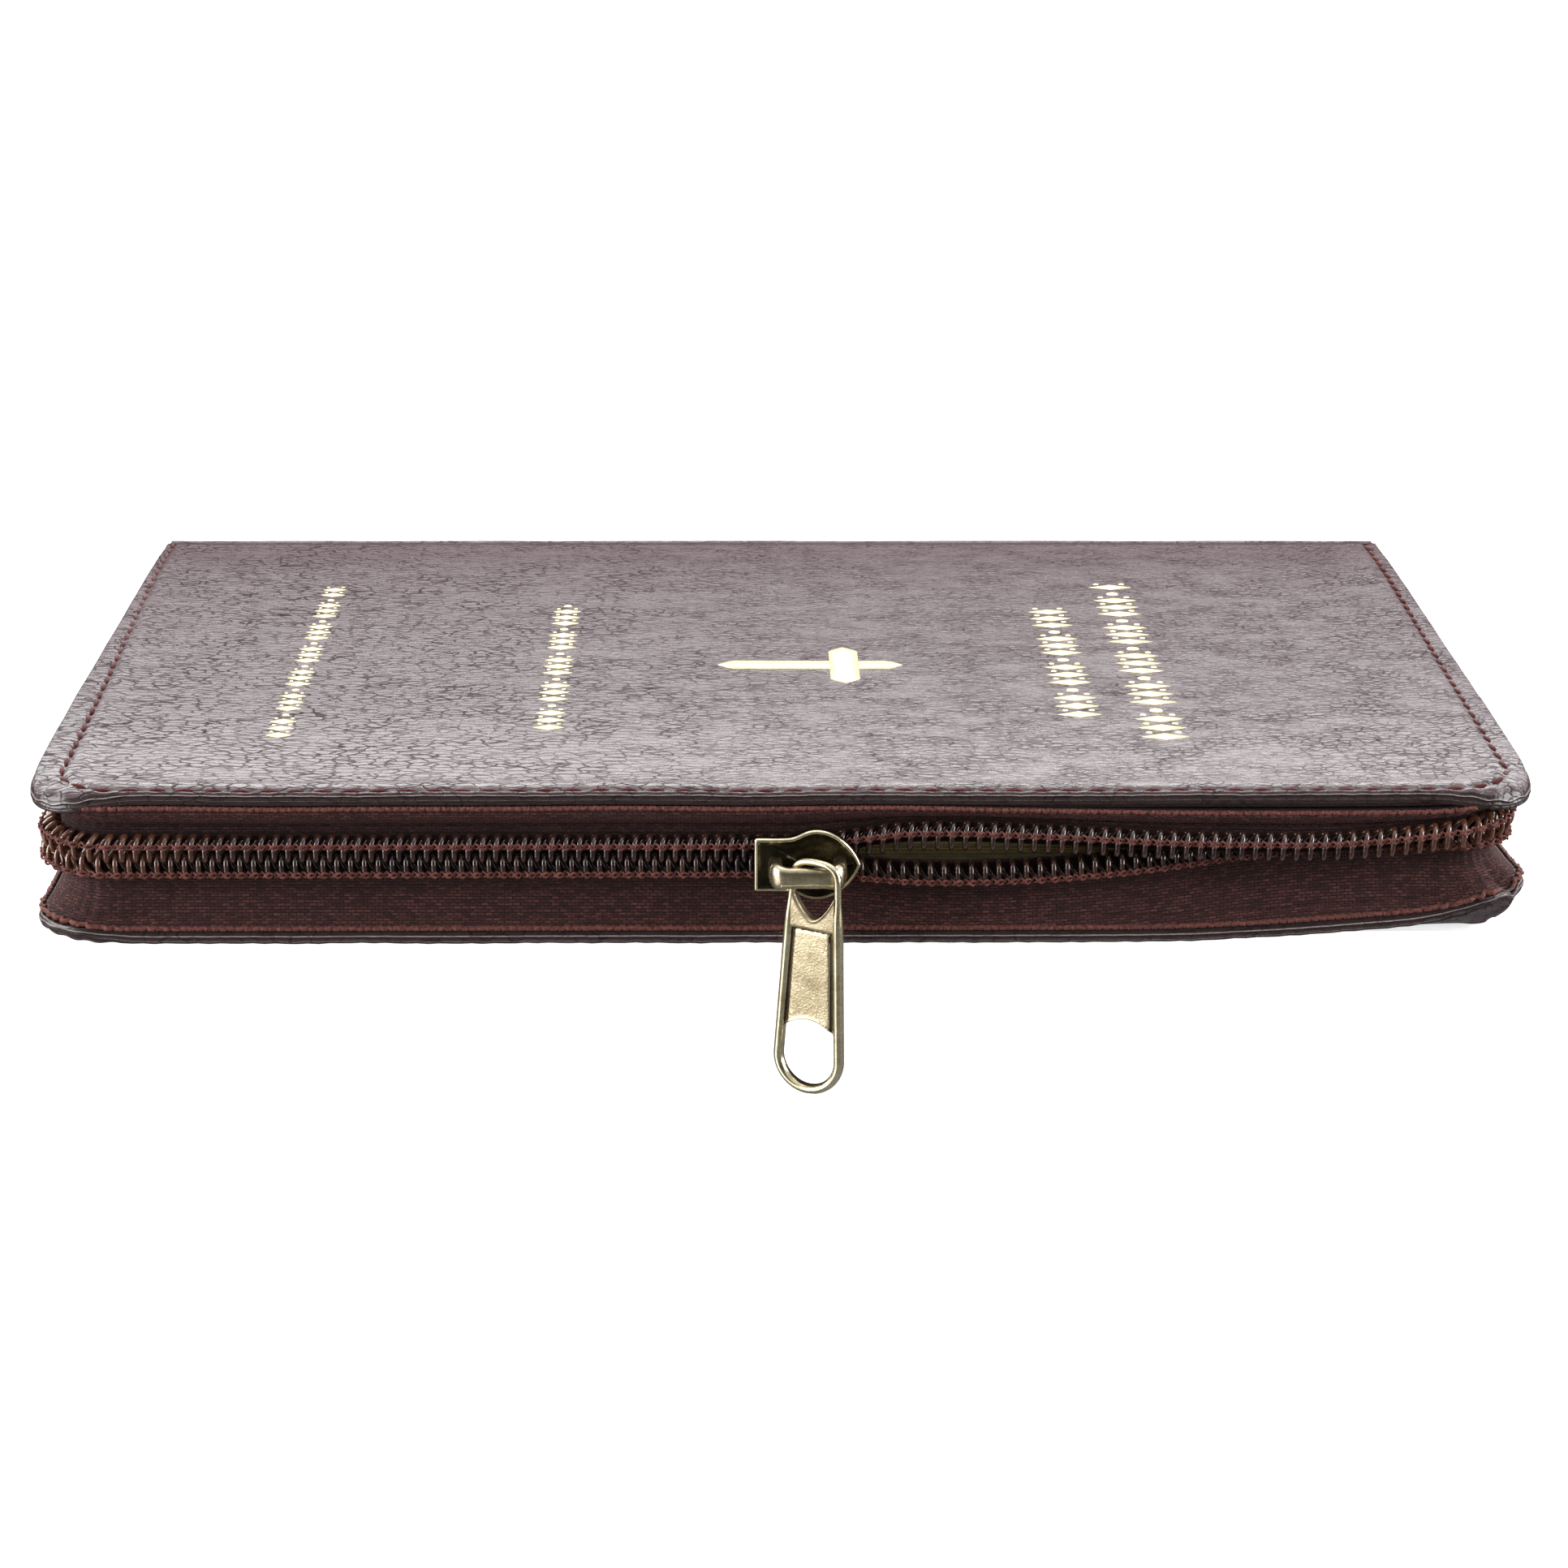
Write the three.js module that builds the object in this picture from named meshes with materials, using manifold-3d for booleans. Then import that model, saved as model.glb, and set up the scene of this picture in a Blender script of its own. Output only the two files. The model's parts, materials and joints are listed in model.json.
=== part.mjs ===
// A pocket devotional book in a zip-around leather case, lying on its back cover.
// Millimetres. +X runs along the fore-edge, the fore-edge faces -Y, the spine is at +Y, +Z is up.
// The origin is the middle of the back cover's underside.
import * as THREE from 'three';
import { mergeVertices } from 'three/addons/utils/BufferGeometryUtils.js';
import Module from 'manifold-3d';

const wasm = await Module();
wasm.setup();

// ---- driving dimensions -------------------------------------------------------------------
const COVER_LENGTH = 165;        // along the fore-edge
const FORE_EDGE_Y = -53.5;       // cover's edge at the fore-edge
const COVER_BACK_Y = 51;         // cover's straight edge beside the spine joint
const CORNER_RADIUS = 8;
const BOOK_HEIGHT = 18;
const COVER_THICKNESS = 1.6;
const LEATHER_SKIN = 0.6;
const LEATHER_RIM = 1.2;         // width of the turned-in edge round the board
const BOARD_THICKNESS = 0.7;
const LINING_THICKNESS = 0.3;
const PLATE_GAP = 0.06;          // air left between stacked sheets
const ARC_STEPS = 8;
const ENDPAPER_THICKNESS = 0.25;
const BOARD_MARGIN = 0.3;        // board's edge inside the leather rim

const SPINE_AXIS_Y = 53;         // both flexing joints of the spine
const BACK_AXIS_Z = 1;
const FRONT_AXIS_Z = BOOK_HEIGHT - BACK_AXIS_Z;
const SPINE_LENGTH = 164;
const SPINE_BEAD_RADIUS = 1;     // leather roll at each flexing joint
const SPINE_SKIN = 0.6;
const SPINE_BOARD_THICKNESS = 0.7;
const SPINE_BOARD_GAP = 0.1;
const SPINE_BOARD_INSET = 2;     // board's ends inside the leather's ends
const SPINE_BOARD_EASE = 1.5;    // board's long edges clear of the two joints
const MULL_Y = 50.85;
const MULL_THICKNESS = 0.4;
const MULL_INSET = 4;
const MULL_EDGE_Z = 2.8;
const BAND_RADIUS = 0.7;
const BAND_INSET = 2;
const BAND_SIDES = 12;

const CHAIN_MIDDLE_Z = 10.2;     // gap between the two rows of coil
const ROW_GAP = 1.0;
const ROW_HEIGHT = 2.6;
const COIL_PITCH = 1.5;
const COIL_NOTCH = 0.45;
const COIL_FACE_INSET = -1.5;    // insets are measured inwards from the cover's fore-edge
const TAPE_INSET = 0.9;
const TAPE_WALL = 0.6;
const TAPE_FLANGE = 0.45;
const TAPE_FLANGE_INSET = 0.3;   // the tape's edge lies on the cover's edge and faces out
const TAPE_GAP = 0.05;
const SIDE_SHIFT = 1.9;          // the zip sits this much further in on the two short sides
const TAPE_END_Y = 47.5;
const SMALLEST_RADIUS = 0.6;     // tightest plan corner of the zip
const COIL_END_CLEAR = 4;        // coil without notches beside each corner
const STOP_WIDTH = 2.6;
const STOP_DEPTH = 2;
const STOP_PROUD = 0.4;          // stop stands out past the coil's face
const STOP_GAP = 0.4;            // air between the coil's end and the stop

const BLOCK_LENGTH = 157;
const BLOCK_FORE_Y = -49.5;
const BLOCK_BACK_Y = 50.5;
const PAGE_CORNER_RADIUS = 5;
const SECTIONS_PER_HALF = 5;
const LEAVES_THICKNESS = 0.4;
const LEAVES_MIDDLE_Z = 9;
const LEAVES_GAP = 0.2;          // air between the two turned leaves

const SLIDER_X = 2.6;
const BLADE_TOP_Z = 14.2;
const BLADE_BOTTOM_Z = 6.2;
const BLADE_THICKNESS = 1.0;
const OUTER_BLADE_Y = -56.4;     // front face
const INNER_BLADE_Y = -51.6;     // front face
const POST_HEIGHT = 0.7;
const POST_START_X = 2.2;        // from the slider's middle
const POST_END_X = 4.6;
const BLADE_END_X = 5.8;         // blunt heel and pointed nose, either side of the middle
const HEEL_DROP = 0.95;          // heel is this much lower than the shoulders
const HEEL_CORNER = 0.5;
const HEEL_FLAT_X = -4.6;
const WAIST_X = -1.6;
const SHOULDER_X = 1.6;
const BAR_Y = -59;
const BAR_Z = 9.7;
const BAR_HALF_LENGTH = 5.5;
const BAR_HALF_DEPTH = 0.6;
const BAR_HALF_HEIGHT = 1.0;
const FOOT_HALF_WIDTH = 0.55;
const FOOT_HALF_HEIGHT = 0.9;

const TAB_YAW = THREE.MathUtils.degToRad(-30);
const TAB_TOP = 2.3;             // ring's top above the bar's axis
const TAB_TIP = -25.2;           // tab's tip below the bar's axis
const TAB_END_RADIUS = 3.8;
const TAB_RIM = 1.1;
const HOLE_STRAIGHT = 2.2;
const TAB_THICKNESS = 1.4;
const RING_WIRE = 0.84;
const RING_HALF_WIDTH = 3.42;
const RING_SHOULDER = 0.9;       // straight sides start this far above the ring's widest line
const RING_CROWN_X = 2.2;        // how square the ring's top is
const RING_CROWN_DROP = 0.7;
const OPENING_SIDE_BOTTOM = -2.2;
const OPENING_BOTTOM = -4.8;
const OPENING_CROWN_X = 1.5;
const OPENING_CROWN_DROP = 1.2;
const HOLE_CROWN = 2.4;
const TAB_CURVE_STEPS = 5;
const THIN_PART_BOTTOM = -4.4;   // plate is thin at the ring, down to here
const PANEL_TOP = -6.2;
const PANEL_BOTTOM = -16.8;
const PANEL_HALF_WIDTH = 2.4;
const PANEL_DEPTH = 0.3;
const TAB_X_SHIFT = 0.4;         // tab hangs a little off the slider's middle
const CUT_CLEAR = 2;             // cutting tools reach this far past the metal
const TAB_CLEAR = 6;             // wider than half the tab

// ---- solids -------------------------------------------------------------------------------
const group = new THREE.Group();

function toSolid(geometry) {
  const bare = geometry.clone();
  for (const name of Object.keys(bare.attributes)) {
    if (name !== 'position') bare.deleteAttribute(name);
  }
  const merged = mergeVertices(bare, 1e-4);
  const mesh = new wasm.Mesh({
    numProp: 3,
    vertProperties: new Float32Array(merged.attributes.position.array),
    triVerts: new Uint32Array(merged.index.array),
  });
  return new wasm.Manifold(mesh);
}

function toGeometry(solid) {
  const mesh = solid.getMesh();
  const geometry = new THREE.BufferGeometry();
  geometry.setAttribute('position', new THREE.BufferAttribute(mesh.vertProperties, 3));
  geometry.setIndex(new THREE.BufferAttribute(mesh.triVerts, 1));
  return geometry;
}

function join(...geometries) {
  return toGeometry(geometries.map(toSolid).reduce((sum, solid) => sum.add(solid)));
}

function cut(geometry, ...tools) {
  return toGeometry(tools.map(toSolid).reduce((rest, tool) => rest.subtract(tool), toSolid(geometry)));
}

// A plan outline, extruded from z0 up to z1.
function slab(outline, z0, z1) {
  const geometry = new THREE.ExtrudeGeometry(outline, {
    depth: z1 - z0, bevelEnabled: false, curveSegments: ARC_STEPS,
  });
  return geometry.translate(0, 0, z0);
}

// An outline drawn in X and Z, extruded from y0 to y1.
function wall(outline, y0, y1) {
  const geometry = new THREE.ExtrudeGeometry(outline, {
    depth: y1 - y0, bevelEnabled: false, curveSegments: ARC_STEPS,
  });
  return geometry.rotateX(Math.PI / 2).translate(0, y1, 0);
}

// An outline drawn in Y and Z, extruded along X about the middle.
function bar(outline, length) {
  const geometry = new THREE.ExtrudeGeometry(outline, {
    depth: length, bevelEnabled: false, curveSegments: ARC_STEPS,
  });
  geometry.translate(0, 0, -length / 2);
  return geometry.applyMatrix4(new THREE.Matrix4().makeBasis(
    new THREE.Vector3(0, 1, 0), new THREE.Vector3(0, 0, 1), new THREE.Vector3(1, 0, 0)));
}

function box(x0, x1, y0, y1, z0, z1) {
  const geometry = new THREE.BoxGeometry(x1 - x0, y1 - y0, z1 - z0);
  return geometry.translate((x0 + x1) / 2, (y0 + y1) / 2, (z0 + z1) / 2);
}

function polygon(points) {
  return new THREE.Shape(points.map(([x, y]) => new THREE.Vector2(x, y)));
}

// Same solid on the other side of the book's middle height.
function upsideDown(geometry) {
  const flipped = geometry.clone().rotateY(Math.PI);
  return flipped.translate(0, 0, BOOK_HEIGHT);
}

// ---- plan outlines ------------------------------------------------------------------------

// A plan that is round at its two fore-edge corners and square at the spine.
function leafPlan(half, fore, backY, radius) {
  const shape = new THREE.Shape();
  shape.moveTo(half, backY);
  shape.lineTo(-half, backY);
  shape.lineTo(-half, fore + radius);
  shape.absarc(-half + radius, fore + radius, radius, Math.PI, 1.5 * Math.PI, false);
  shape.lineTo(half - radius, fore);
  shape.absarc(half - radius, fore + radius, radius, 1.5 * Math.PI, 2 * Math.PI, false);
  shape.closePath();
  return shape;
}

// The cover's plan, moved in by inset.
function coverPlan(inset) {
  return leafPlan(COVER_LENGTH / 2 - inset, FORE_EDGE_Y + inset, COVER_BACK_Y - inset,
    CORNER_RADIUS - inset);
}

// A band that runs round the three open sides, between two insets.
function bandPlan(inset, width) {
  const shape = new THREE.Shape();
  const far = TAPE_END_Y;
  const half = (step) => COVER_LENGTH / 2 - SIDE_SHIFT - inset - step;
  const fore = (step) => FORE_EDGE_Y + inset + step;
  const radius = (step) => Math.max(CORNER_RADIUS - inset - step, SMALLEST_RADIUS);
  const outer = radius(0);
  const inner = radius(width);
  shape.moveTo(-half(0), far);
  shape.lineTo(-half(0), fore(0) + outer);
  shape.absarc(-half(0) + outer, fore(0) + outer, outer, Math.PI, 1.5 * Math.PI, false);
  shape.lineTo(half(0) - outer, fore(0));
  shape.absarc(half(0) - outer, fore(0) + outer, outer, 1.5 * Math.PI, 2 * Math.PI, false);
  shape.lineTo(half(0), far);
  shape.lineTo(half(width), far);
  shape.lineTo(half(width), fore(width) + inner);
  shape.absarc(half(width) - inner, fore(width) + inner, inner, 2 * Math.PI, 1.5 * Math.PI, true);
  shape.lineTo(-half(width) + inner, fore(width));
  shape.absarc(-half(width) + inner, fore(width) + inner, inner, 1.5 * Math.PI, Math.PI, true);
  shape.lineTo(-half(width), far);
  shape.closePath();
  return shape;
}

// ---- materials ----------------------------------------------------------------------------
const LEATHER = new THREE.MeshStandardMaterial({ color: 0x4a2f33, roughness: 0.45, metalness: 0 });
const BOARD = new THREE.MeshStandardMaterial({ color: 0x9b917f, roughness: 0.9, metalness: 0 });
const LINING = new THREE.MeshStandardMaterial({ color: 0x2d1b1e, roughness: 0.7, metalness: 0 });
const TAPE = new THREE.MeshStandardMaterial({ color: 0x3c2423, roughness: 0.9, metalness: 0 });
const COIL = new THREE.MeshStandardMaterial({ color: 0x301c18, roughness: 0.35, metalness: 0 });
const BRASS = new THREE.MeshStandardMaterial({ color: 0x77694c, roughness: 0.4, metalness: 1 });
const PAPER = new THREE.MeshStandardMaterial({ color: 0xb89c5a, roughness: 0.6, metalness: 0 });
const ENDPAPER = new THREE.MeshStandardMaterial({ color: 0xe6dcc6, roughness: 0.9, metalness: 0 });
const CLOTH = new THREE.MeshStandardMaterial({ color: 0xd8d2c2, roughness: 0.95, metalness: 0 });

function place(name, geometry, material) {
  const mesh = new THREE.Mesh(geometry, material);
  mesh.name = name;
  group.add(mesh);
  return mesh;
}

// ---- covers -------------------------------------------------------------------------------
const BOARD_BOTTOM = LEATHER_SKIN + PLATE_GAP;
const BOARD_TOP = BOARD_BOTTOM + BOARD_THICKNESS;
const LINING_BOTTOM = COVER_THICKNESS + PLATE_GAP;
const LINING_TOP = LINING_BOTTOM + LINING_THICKNESS;

function coverLeather() {
  const skin = slab(coverPlan(0), 0, COVER_THICKNESS);
  const pocket = slab(coverPlan(LEATHER_RIM), LEATHER_SKIN, COVER_THICKNESS + 1);
  return cut(skin, pocket);
}

function coverBoard() {
  return slab(coverPlan(LEATHER_RIM + BOARD_MARGIN), BOARD_BOTTOM, BOARD_TOP);
}

function coverLining() {
  return slab(coverPlan(LEATHER_RIM / 2), LINING_BOTTOM, LINING_TOP);
}

place('back_cover_leather', coverLeather(), LEATHER);
place('back_cover_board', coverBoard(), BOARD);
place('back_cover_lining', coverLining(), LINING);
place('front_cover_leather', upsideDown(coverLeather()), LEATHER);
place('front_cover_board', upsideDown(coverBoard()), BOARD);
place('front_cover_lining', upsideDown(coverLining()), LINING);

// ---- spine --------------------------------------------------------------------------------

// A flat strap with a roll of leather at each flexing joint.
function spineLeather() {
  const outerY = SPINE_AXIS_Y + SPINE_BEAD_RADIUS;
  const innerY = outerY - SPINE_SKIN;
  const outline = new THREE.Shape();
  outline.moveTo(outerY, BACK_AXIS_Z);
  outline.lineTo(outerY, FRONT_AXIS_Z);
  outline.absarc(SPINE_AXIS_Y, FRONT_AXIS_Z, SPINE_BEAD_RADIUS, 0, 1.5 * Math.PI, false);
  outline.lineTo(innerY, FRONT_AXIS_Z - SPINE_BEAD_RADIUS);
  outline.lineTo(innerY, BACK_AXIS_Z + SPINE_BEAD_RADIUS);
  outline.lineTo(SPINE_AXIS_Y, BACK_AXIS_Z + SPINE_BEAD_RADIUS);
  outline.absarc(SPINE_AXIS_Y, BACK_AXIS_Z, SPINE_BEAD_RADIUS, 0.5 * Math.PI, 2 * Math.PI, false);
  return bar(outline, SPINE_LENGTH);
}

function spineBoard() {
  const half = SPINE_LENGTH / 2 - SPINE_BOARD_INSET;
  const outerY = SPINE_AXIS_Y + SPINE_BEAD_RADIUS - SPINE_SKIN - SPINE_BOARD_GAP;
  return box(-half, half, outerY - SPINE_BOARD_THICKNESS, outerY,
    BACK_AXIS_Z + SPINE_BOARD_EASE, FRONT_AXIS_Z - SPINE_BOARD_EASE);
}

function spineMull() {
  const half = BLOCK_LENGTH / 2 - MULL_INSET;
  return box(-half, half, MULL_Y, MULL_Y + MULL_THICKNESS, MULL_EDGE_Z, BOOK_HEIGHT - MULL_EDGE_Z);
}

// A round cord that covers the end of the sewn spine.
function endBand(x) {
  const length = BOOK_HEIGHT - 2 * MULL_EDGE_Z;
  const cord = new THREE.CylinderGeometry(BAND_RADIUS, BAND_RADIUS, length, BAND_SIDES);
  return cord.rotateX(Math.PI / 2).translate(x, MULL_Y + BAND_RADIUS, BOOK_HEIGHT / 2);
}

place('spine_leather', spineLeather(), LEATHER);
place('spine_board', spineBoard(), BOARD);
place('spine_mull', spineMull(), CLOTH);
place('head_band', endBand(BLOCK_LENGTH / 2 - BAND_INSET), CLOTH);
place('tail_band', endBand(-BLOCK_LENGTH / 2 + BAND_INSET), CLOTH);

// ---- zip ----------------------------------------------------------------------------------
const LOWER_ROW_TOP = CHAIN_MIDDLE_Z - ROW_GAP / 2;
const LOWER_ROW_BOTTOM = LOWER_ROW_TOP - ROW_HEIGHT;
const UPPER_ROW_BOTTOM = CHAIN_MIDDLE_Z + ROW_GAP / 2;
const UPPER_ROW_TOP = UPPER_ROW_BOTTOM + ROW_HEIGHT;
const FLANGE_BOTTOM = LINING_TOP + PLATE_GAP;
const FLANGE_TOP = FLANGE_BOTTOM + TAPE_FLANGE;

// A flat flange that is sewn along the cover's edge, and a wall that carries one row of coil.
function zipTape(wallTop, flangeBottom) {
  const flangeWidth = TAPE_INSET + TAPE_WALL - TAPE_FLANGE_INSET;
  const flange = slab(bandPlan(TAPE_FLANGE_INSET, flangeWidth), flangeBottom, flangeBottom + TAPE_FLANGE);
  const upright = slab(bandPlan(TAPE_INSET, TAPE_WALL), flangeBottom, wallTop);
  return join(flange, upright);
}

// One row of coil: a band round three sides, notched at the coil's pitch along the fore-edge.
function coilRow(bottom, notchFromTop) {
  const row = slab(bandPlan(COIL_FACE_INSET, TAPE_INSET - TAPE_GAP - COIL_FACE_INSET), bottom,
    bottom + ROW_HEIGHT);
  const straight = COVER_LENGTH / 2 - CORNER_RADIUS - COIL_END_CLEAR;
  const turns = Math.floor(2 * straight / COIL_PITCH);
  const reach = turns * COIL_PITCH / 2;
  const edge = notchFromTop ? bottom + ROW_HEIGHT : bottom;
  const inward = notchFromTop ? -COIL_NOTCH : COIL_NOTCH;
  const points = [[reach, edge - 2 * inward], [-reach, edge - 2 * inward]];
  for (let turn = 0; turn < turns; turn += 1) {
    const x = turn * COIL_PITCH - reach;
    points.push([x, edge]);
    points.push([x + 0.5 * COIL_PITCH, edge + inward]);
  }
  points.push([reach, edge]);
  const comb = wall(polygon(points), FORE_EDGE_Y + COIL_FACE_INSET - 1, FORE_EDGE_Y + TAPE_INSET);
  return cut(row, comb);
}

// A small metal clamp across the end of one row.
function rowStop(side, z0, z1) {
  const outer = COVER_LENGTH / 2 - SIDE_SHIFT - COIL_FACE_INSET + STOP_PROUD;
  const start = TAPE_END_Y + STOP_GAP;
  const left = side > 0 ? outer - STOP_WIDTH - STOP_PROUD : -outer;
  return box(left, left + STOP_WIDTH + STOP_PROUD, start, start + STOP_DEPTH, z0, z1);
}

place('zipper_tape_back', zipTape(LOWER_ROW_TOP, FLANGE_BOTTOM), TAPE);
place('zipper_coil_back', coilRow(LOWER_ROW_BOTTOM, true), COIL);
const tapeFront = zipTape(BOOK_HEIGHT - UPPER_ROW_BOTTOM, FLANGE_BOTTOM);
place('zipper_tape_front', upsideDown(tapeFront), TAPE);
place('zipper_coil_front', coilRow(UPPER_ROW_BOTTOM, false), COIL);
place('top_stop_back', rowStop(1, LOWER_ROW_BOTTOM, LOWER_ROW_TOP), BRASS);
place('top_stop_front', rowStop(1, UPPER_ROW_BOTTOM, UPPER_ROW_TOP), BRASS);
place('bottom_stop', rowStop(-1, LOWER_ROW_BOTTOM, CHAIN_MIDDLE_Z), BRASS);

// ---- text block ---------------------------------------------------------------------------
const ENDPAPER_BOTTOM = FLANGE_TOP + PLATE_GAP;
const SECTIONS_BOTTOM = ENDPAPER_BOTTOM + ENDPAPER_THICKNESS + PLATE_GAP;
const LEAVES_TOP = LEAVES_MIDDLE_Z - LEAVES_GAP / 2;
const SECTIONS_TOP = LEAVES_TOP - LEAVES_THICKNESS - PLATE_GAP;
const SECTION_PITCH = (SECTIONS_TOP - SECTIONS_BOTTOM + PLATE_GAP) / SECTIONS_PER_HALF;

function pageSlab(z0, z1) {
  return slab(leafPlan(BLOCK_LENGTH / 2, BLOCK_FORE_Y, BLOCK_BACK_Y, PAGE_CORNER_RADIUS), z0, z1);
}

place('back_endpaper', pageSlab(ENDPAPER_BOTTOM, ENDPAPER_BOTTOM + ENDPAPER_THICKNESS), ENDPAPER);
place('front_endpaper', upsideDown(pageSlab(ENDPAPER_BOTTOM, ENDPAPER_BOTTOM + ENDPAPER_THICKNESS)),
  ENDPAPER);

for (let index = 0; index < SECTIONS_PER_HALF; index += 1) {
  const bottom = SECTIONS_BOTTOM + index * SECTION_PITCH;
  const section = pageSlab(bottom, bottom + SECTION_PITCH - PLATE_GAP);
  const backNumber = 2 * SECTIONS_PER_HALF - index;
  const frontNumber = index + 1;
  place(`page_section_${String(backNumber).padStart(2, '0')}`, section, PAPER);
  place(`page_section_${String(frontNumber).padStart(2, '0')}`, upsideDown(section), PAPER);
}

const turnedLeaves = pageSlab(LEAVES_TOP - LEAVES_THICKNESS, LEAVES_TOP);
place('turned_leaves_back', turnedLeaves, PAPER);
place('turned_leaves_front', upsideDown(turnedLeaves), PAPER);

// ---- slider and pull tab ------------------------------------------------------------------

// The blade's outline about the slider's middle: blunt heel at -X, pointed nose at +X.
function bladeOutline() {
  const middle = (BLADE_TOP_Z + BLADE_BOTTOM_Z) / 2;
  const half = (BLADE_TOP_Z - BLADE_BOTTOM_Z) / 2;
  const heel = half - HEEL_DROP;
  const side = heel - HEEL_CORNER;
  const noseX = BLADE_END_X - 0.4;
  const noseRise = 1.6;
  const shape = new THREE.Shape();
  shape.moveTo(-BLADE_END_X, middle - side);
  shape.lineTo(-BLADE_END_X, middle + side);
  shape.quadraticCurveTo(-BLADE_END_X + 0.2, middle + heel, HEEL_FLAT_X, middle + heel);
  shape.lineTo(WAIST_X, middle + heel);
  shape.bezierCurveTo(-0.4, middle + heel, 0, middle + half, SHOULDER_X, middle + half);
  shape.bezierCurveTo(3.8, middle + half, noseX, middle + noseRise, BLADE_END_X, middle);
  shape.bezierCurveTo(noseX, middle - noseRise, 3.8, middle - half, SHOULDER_X, middle - half);
  shape.bezierCurveTo(0, middle - half, -0.4, middle - heel, WAIST_X, middle - heel);
  shape.lineTo(HEEL_FLAT_X, middle - heel);
  shape.quadraticCurveTo(-BLADE_END_X + 0.2, middle - heel, -BLADE_END_X, middle - side);
  return shape;
}

// The bar that the pull tab hangs on, with a foot at each end that runs into the outer blade.
function bridge() {
  const section = new THREE.Shape();
  section.absellipse(BAR_Y, BAR_Z, BAR_HALF_DEPTH, BAR_HALF_HEIGHT, 0, 2 * Math.PI, false, 0);
  const round = bar(section, 2 * BAR_HALF_LENGTH);
  const front = BAR_Y - BAR_HALF_DEPTH + 0.15;
  const foot = (x) => box(x - FOOT_HALF_WIDTH, x + FOOT_HALF_WIDTH, front, OUTER_BLADE_Y + 0.3,
    BAR_Z - FOOT_HALF_HEIGHT, BAR_Z + FOOT_HALF_HEIGHT);
  const footX = BAR_HALF_LENGTH - FOOT_HALF_WIDTH;
  return [round, foot(-footX), foot(footX)];
}

function sliderBody() {
  const outer = wall(bladeOutline(), OUTER_BLADE_Y, OUTER_BLADE_Y + BLADE_THICKNESS);
  const inner = wall(bladeOutline(), INNER_BLADE_Y, INNER_BLADE_Y + BLADE_THICKNESS);
  const post = box(POST_START_X, POST_END_X, OUTER_BLADE_Y + 0.2, INNER_BLADE_Y + 0.5,
    CHAIN_MIDDLE_Z - POST_HEIGHT / 2, CHAIN_MIDDLE_Z + POST_HEIGHT / 2);
  return join(outer, inner, post, ...bridge());
}

const slider = place('slider_body', sliderBody(), BRASS);
slider.position.x = SLIDER_X;

// The tab's outline about the bar's axis: a ring round the bar, a waist, and a wider round end.
function tabOutline() {
  const shape = new THREE.Shape();
  const end = TAB_TIP + TAB_END_RADIUS;
  const shoulder = TAB_TOP - RING_HALF_WIDTH + RING_SHOULDER;
  const crown = TAB_TOP - RING_CROWN_DROP;
  shape.moveTo(RING_HALF_WIDTH, shoulder);
  shape.bezierCurveTo(RING_HALF_WIDTH, crown, RING_CROWN_X, TAB_TOP, 0, TAB_TOP);
  shape.bezierCurveTo(-RING_CROWN_X, TAB_TOP, -RING_HALF_WIDTH, crown, -RING_HALF_WIDTH, shoulder);
  shape.lineTo(-TAB_END_RADIUS, end);
  shape.absarc(0, end, TAB_END_RADIUS, Math.PI, 2 * Math.PI, false);
  shape.closePath();
  shape.holes.push(ringOpening(), thumbHole());
  return shape;
}

// The opening that the bar runs through: round at the top, and a rounded point at the bottom.
function ringOpening() {
  const half = RING_HALF_WIDTH - RING_WIRE;
  const top = TAB_TOP - RING_WIRE;
  const crown = TAB_TOP - OPENING_CROWN_DROP;
  const low = half - 0.2;
  const point = half - 0.6;
  const opening = new THREE.Path();
  opening.moveTo(half, 0);
  opening.lineTo(low, OPENING_SIDE_BOTTOM);
  opening.quadraticCurveTo(point, OPENING_BOTTOM, 0, OPENING_BOTTOM);
  opening.quadraticCurveTo(-point, OPENING_BOTTOM, -low, OPENING_SIDE_BOTTOM);
  opening.lineTo(-half, 0);
  opening.bezierCurveTo(-half, crown, -OPENING_CROWN_X, top, 0, top);
  opening.bezierCurveTo(OPENING_CROWN_X, top, half, crown, half, 0);
  return opening;
}

// The hole in the round end leaves a rim all round it.
function thumbHole() {
  const half = TAB_END_RADIUS - TAB_RIM;
  const end = TAB_TIP + TAB_END_RADIUS;
  const straight = end + HOLE_STRAIGHT;
  const crown = straight + HOLE_CROWN;
  const hole = new THREE.Path();
  hole.moveTo(half, straight);
  hole.bezierCurveTo(half, crown, -half, crown, -half, straight);
  hole.lineTo(-half, end);
  hole.absarc(0, end, half, Math.PI, 2 * Math.PI, false);
  hole.closePath();
  return hole;
}

// The plate is thin at the ring, and the flat of the tab has a shallow panel on both faces.
function pullTab() {
  const plate = new THREE.ExtrudeGeometry(tabOutline(), {
    depth: TAB_THICKNESS, bevelEnabled: false, curveSegments: TAB_CURVE_STEPS,
  }).translate(0, 0, -TAB_THICKNESS / 2);
  const face = TAB_THICKNESS / 2;
  const sides = (depth, half, bottom, top) => [
    box(-half, half, bottom, top, face - depth, face + CUT_CLEAR),
    box(-half, half, bottom, top, -face - CUT_CLEAR, -face + depth),
  ];
  const thin = sides((TAB_THICKNESS - RING_WIRE) / 2, TAB_CLEAR, THIN_PART_BOTTOM, TAB_TOP + CUT_CLEAR);
  const panel = sides(PANEL_DEPTH, PANEL_HALF_WIDTH, PANEL_BOTTOM, PANEL_TOP);
  return cut(plate, ...thin, ...panel).rotateX(Math.PI / 2);
}

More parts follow.
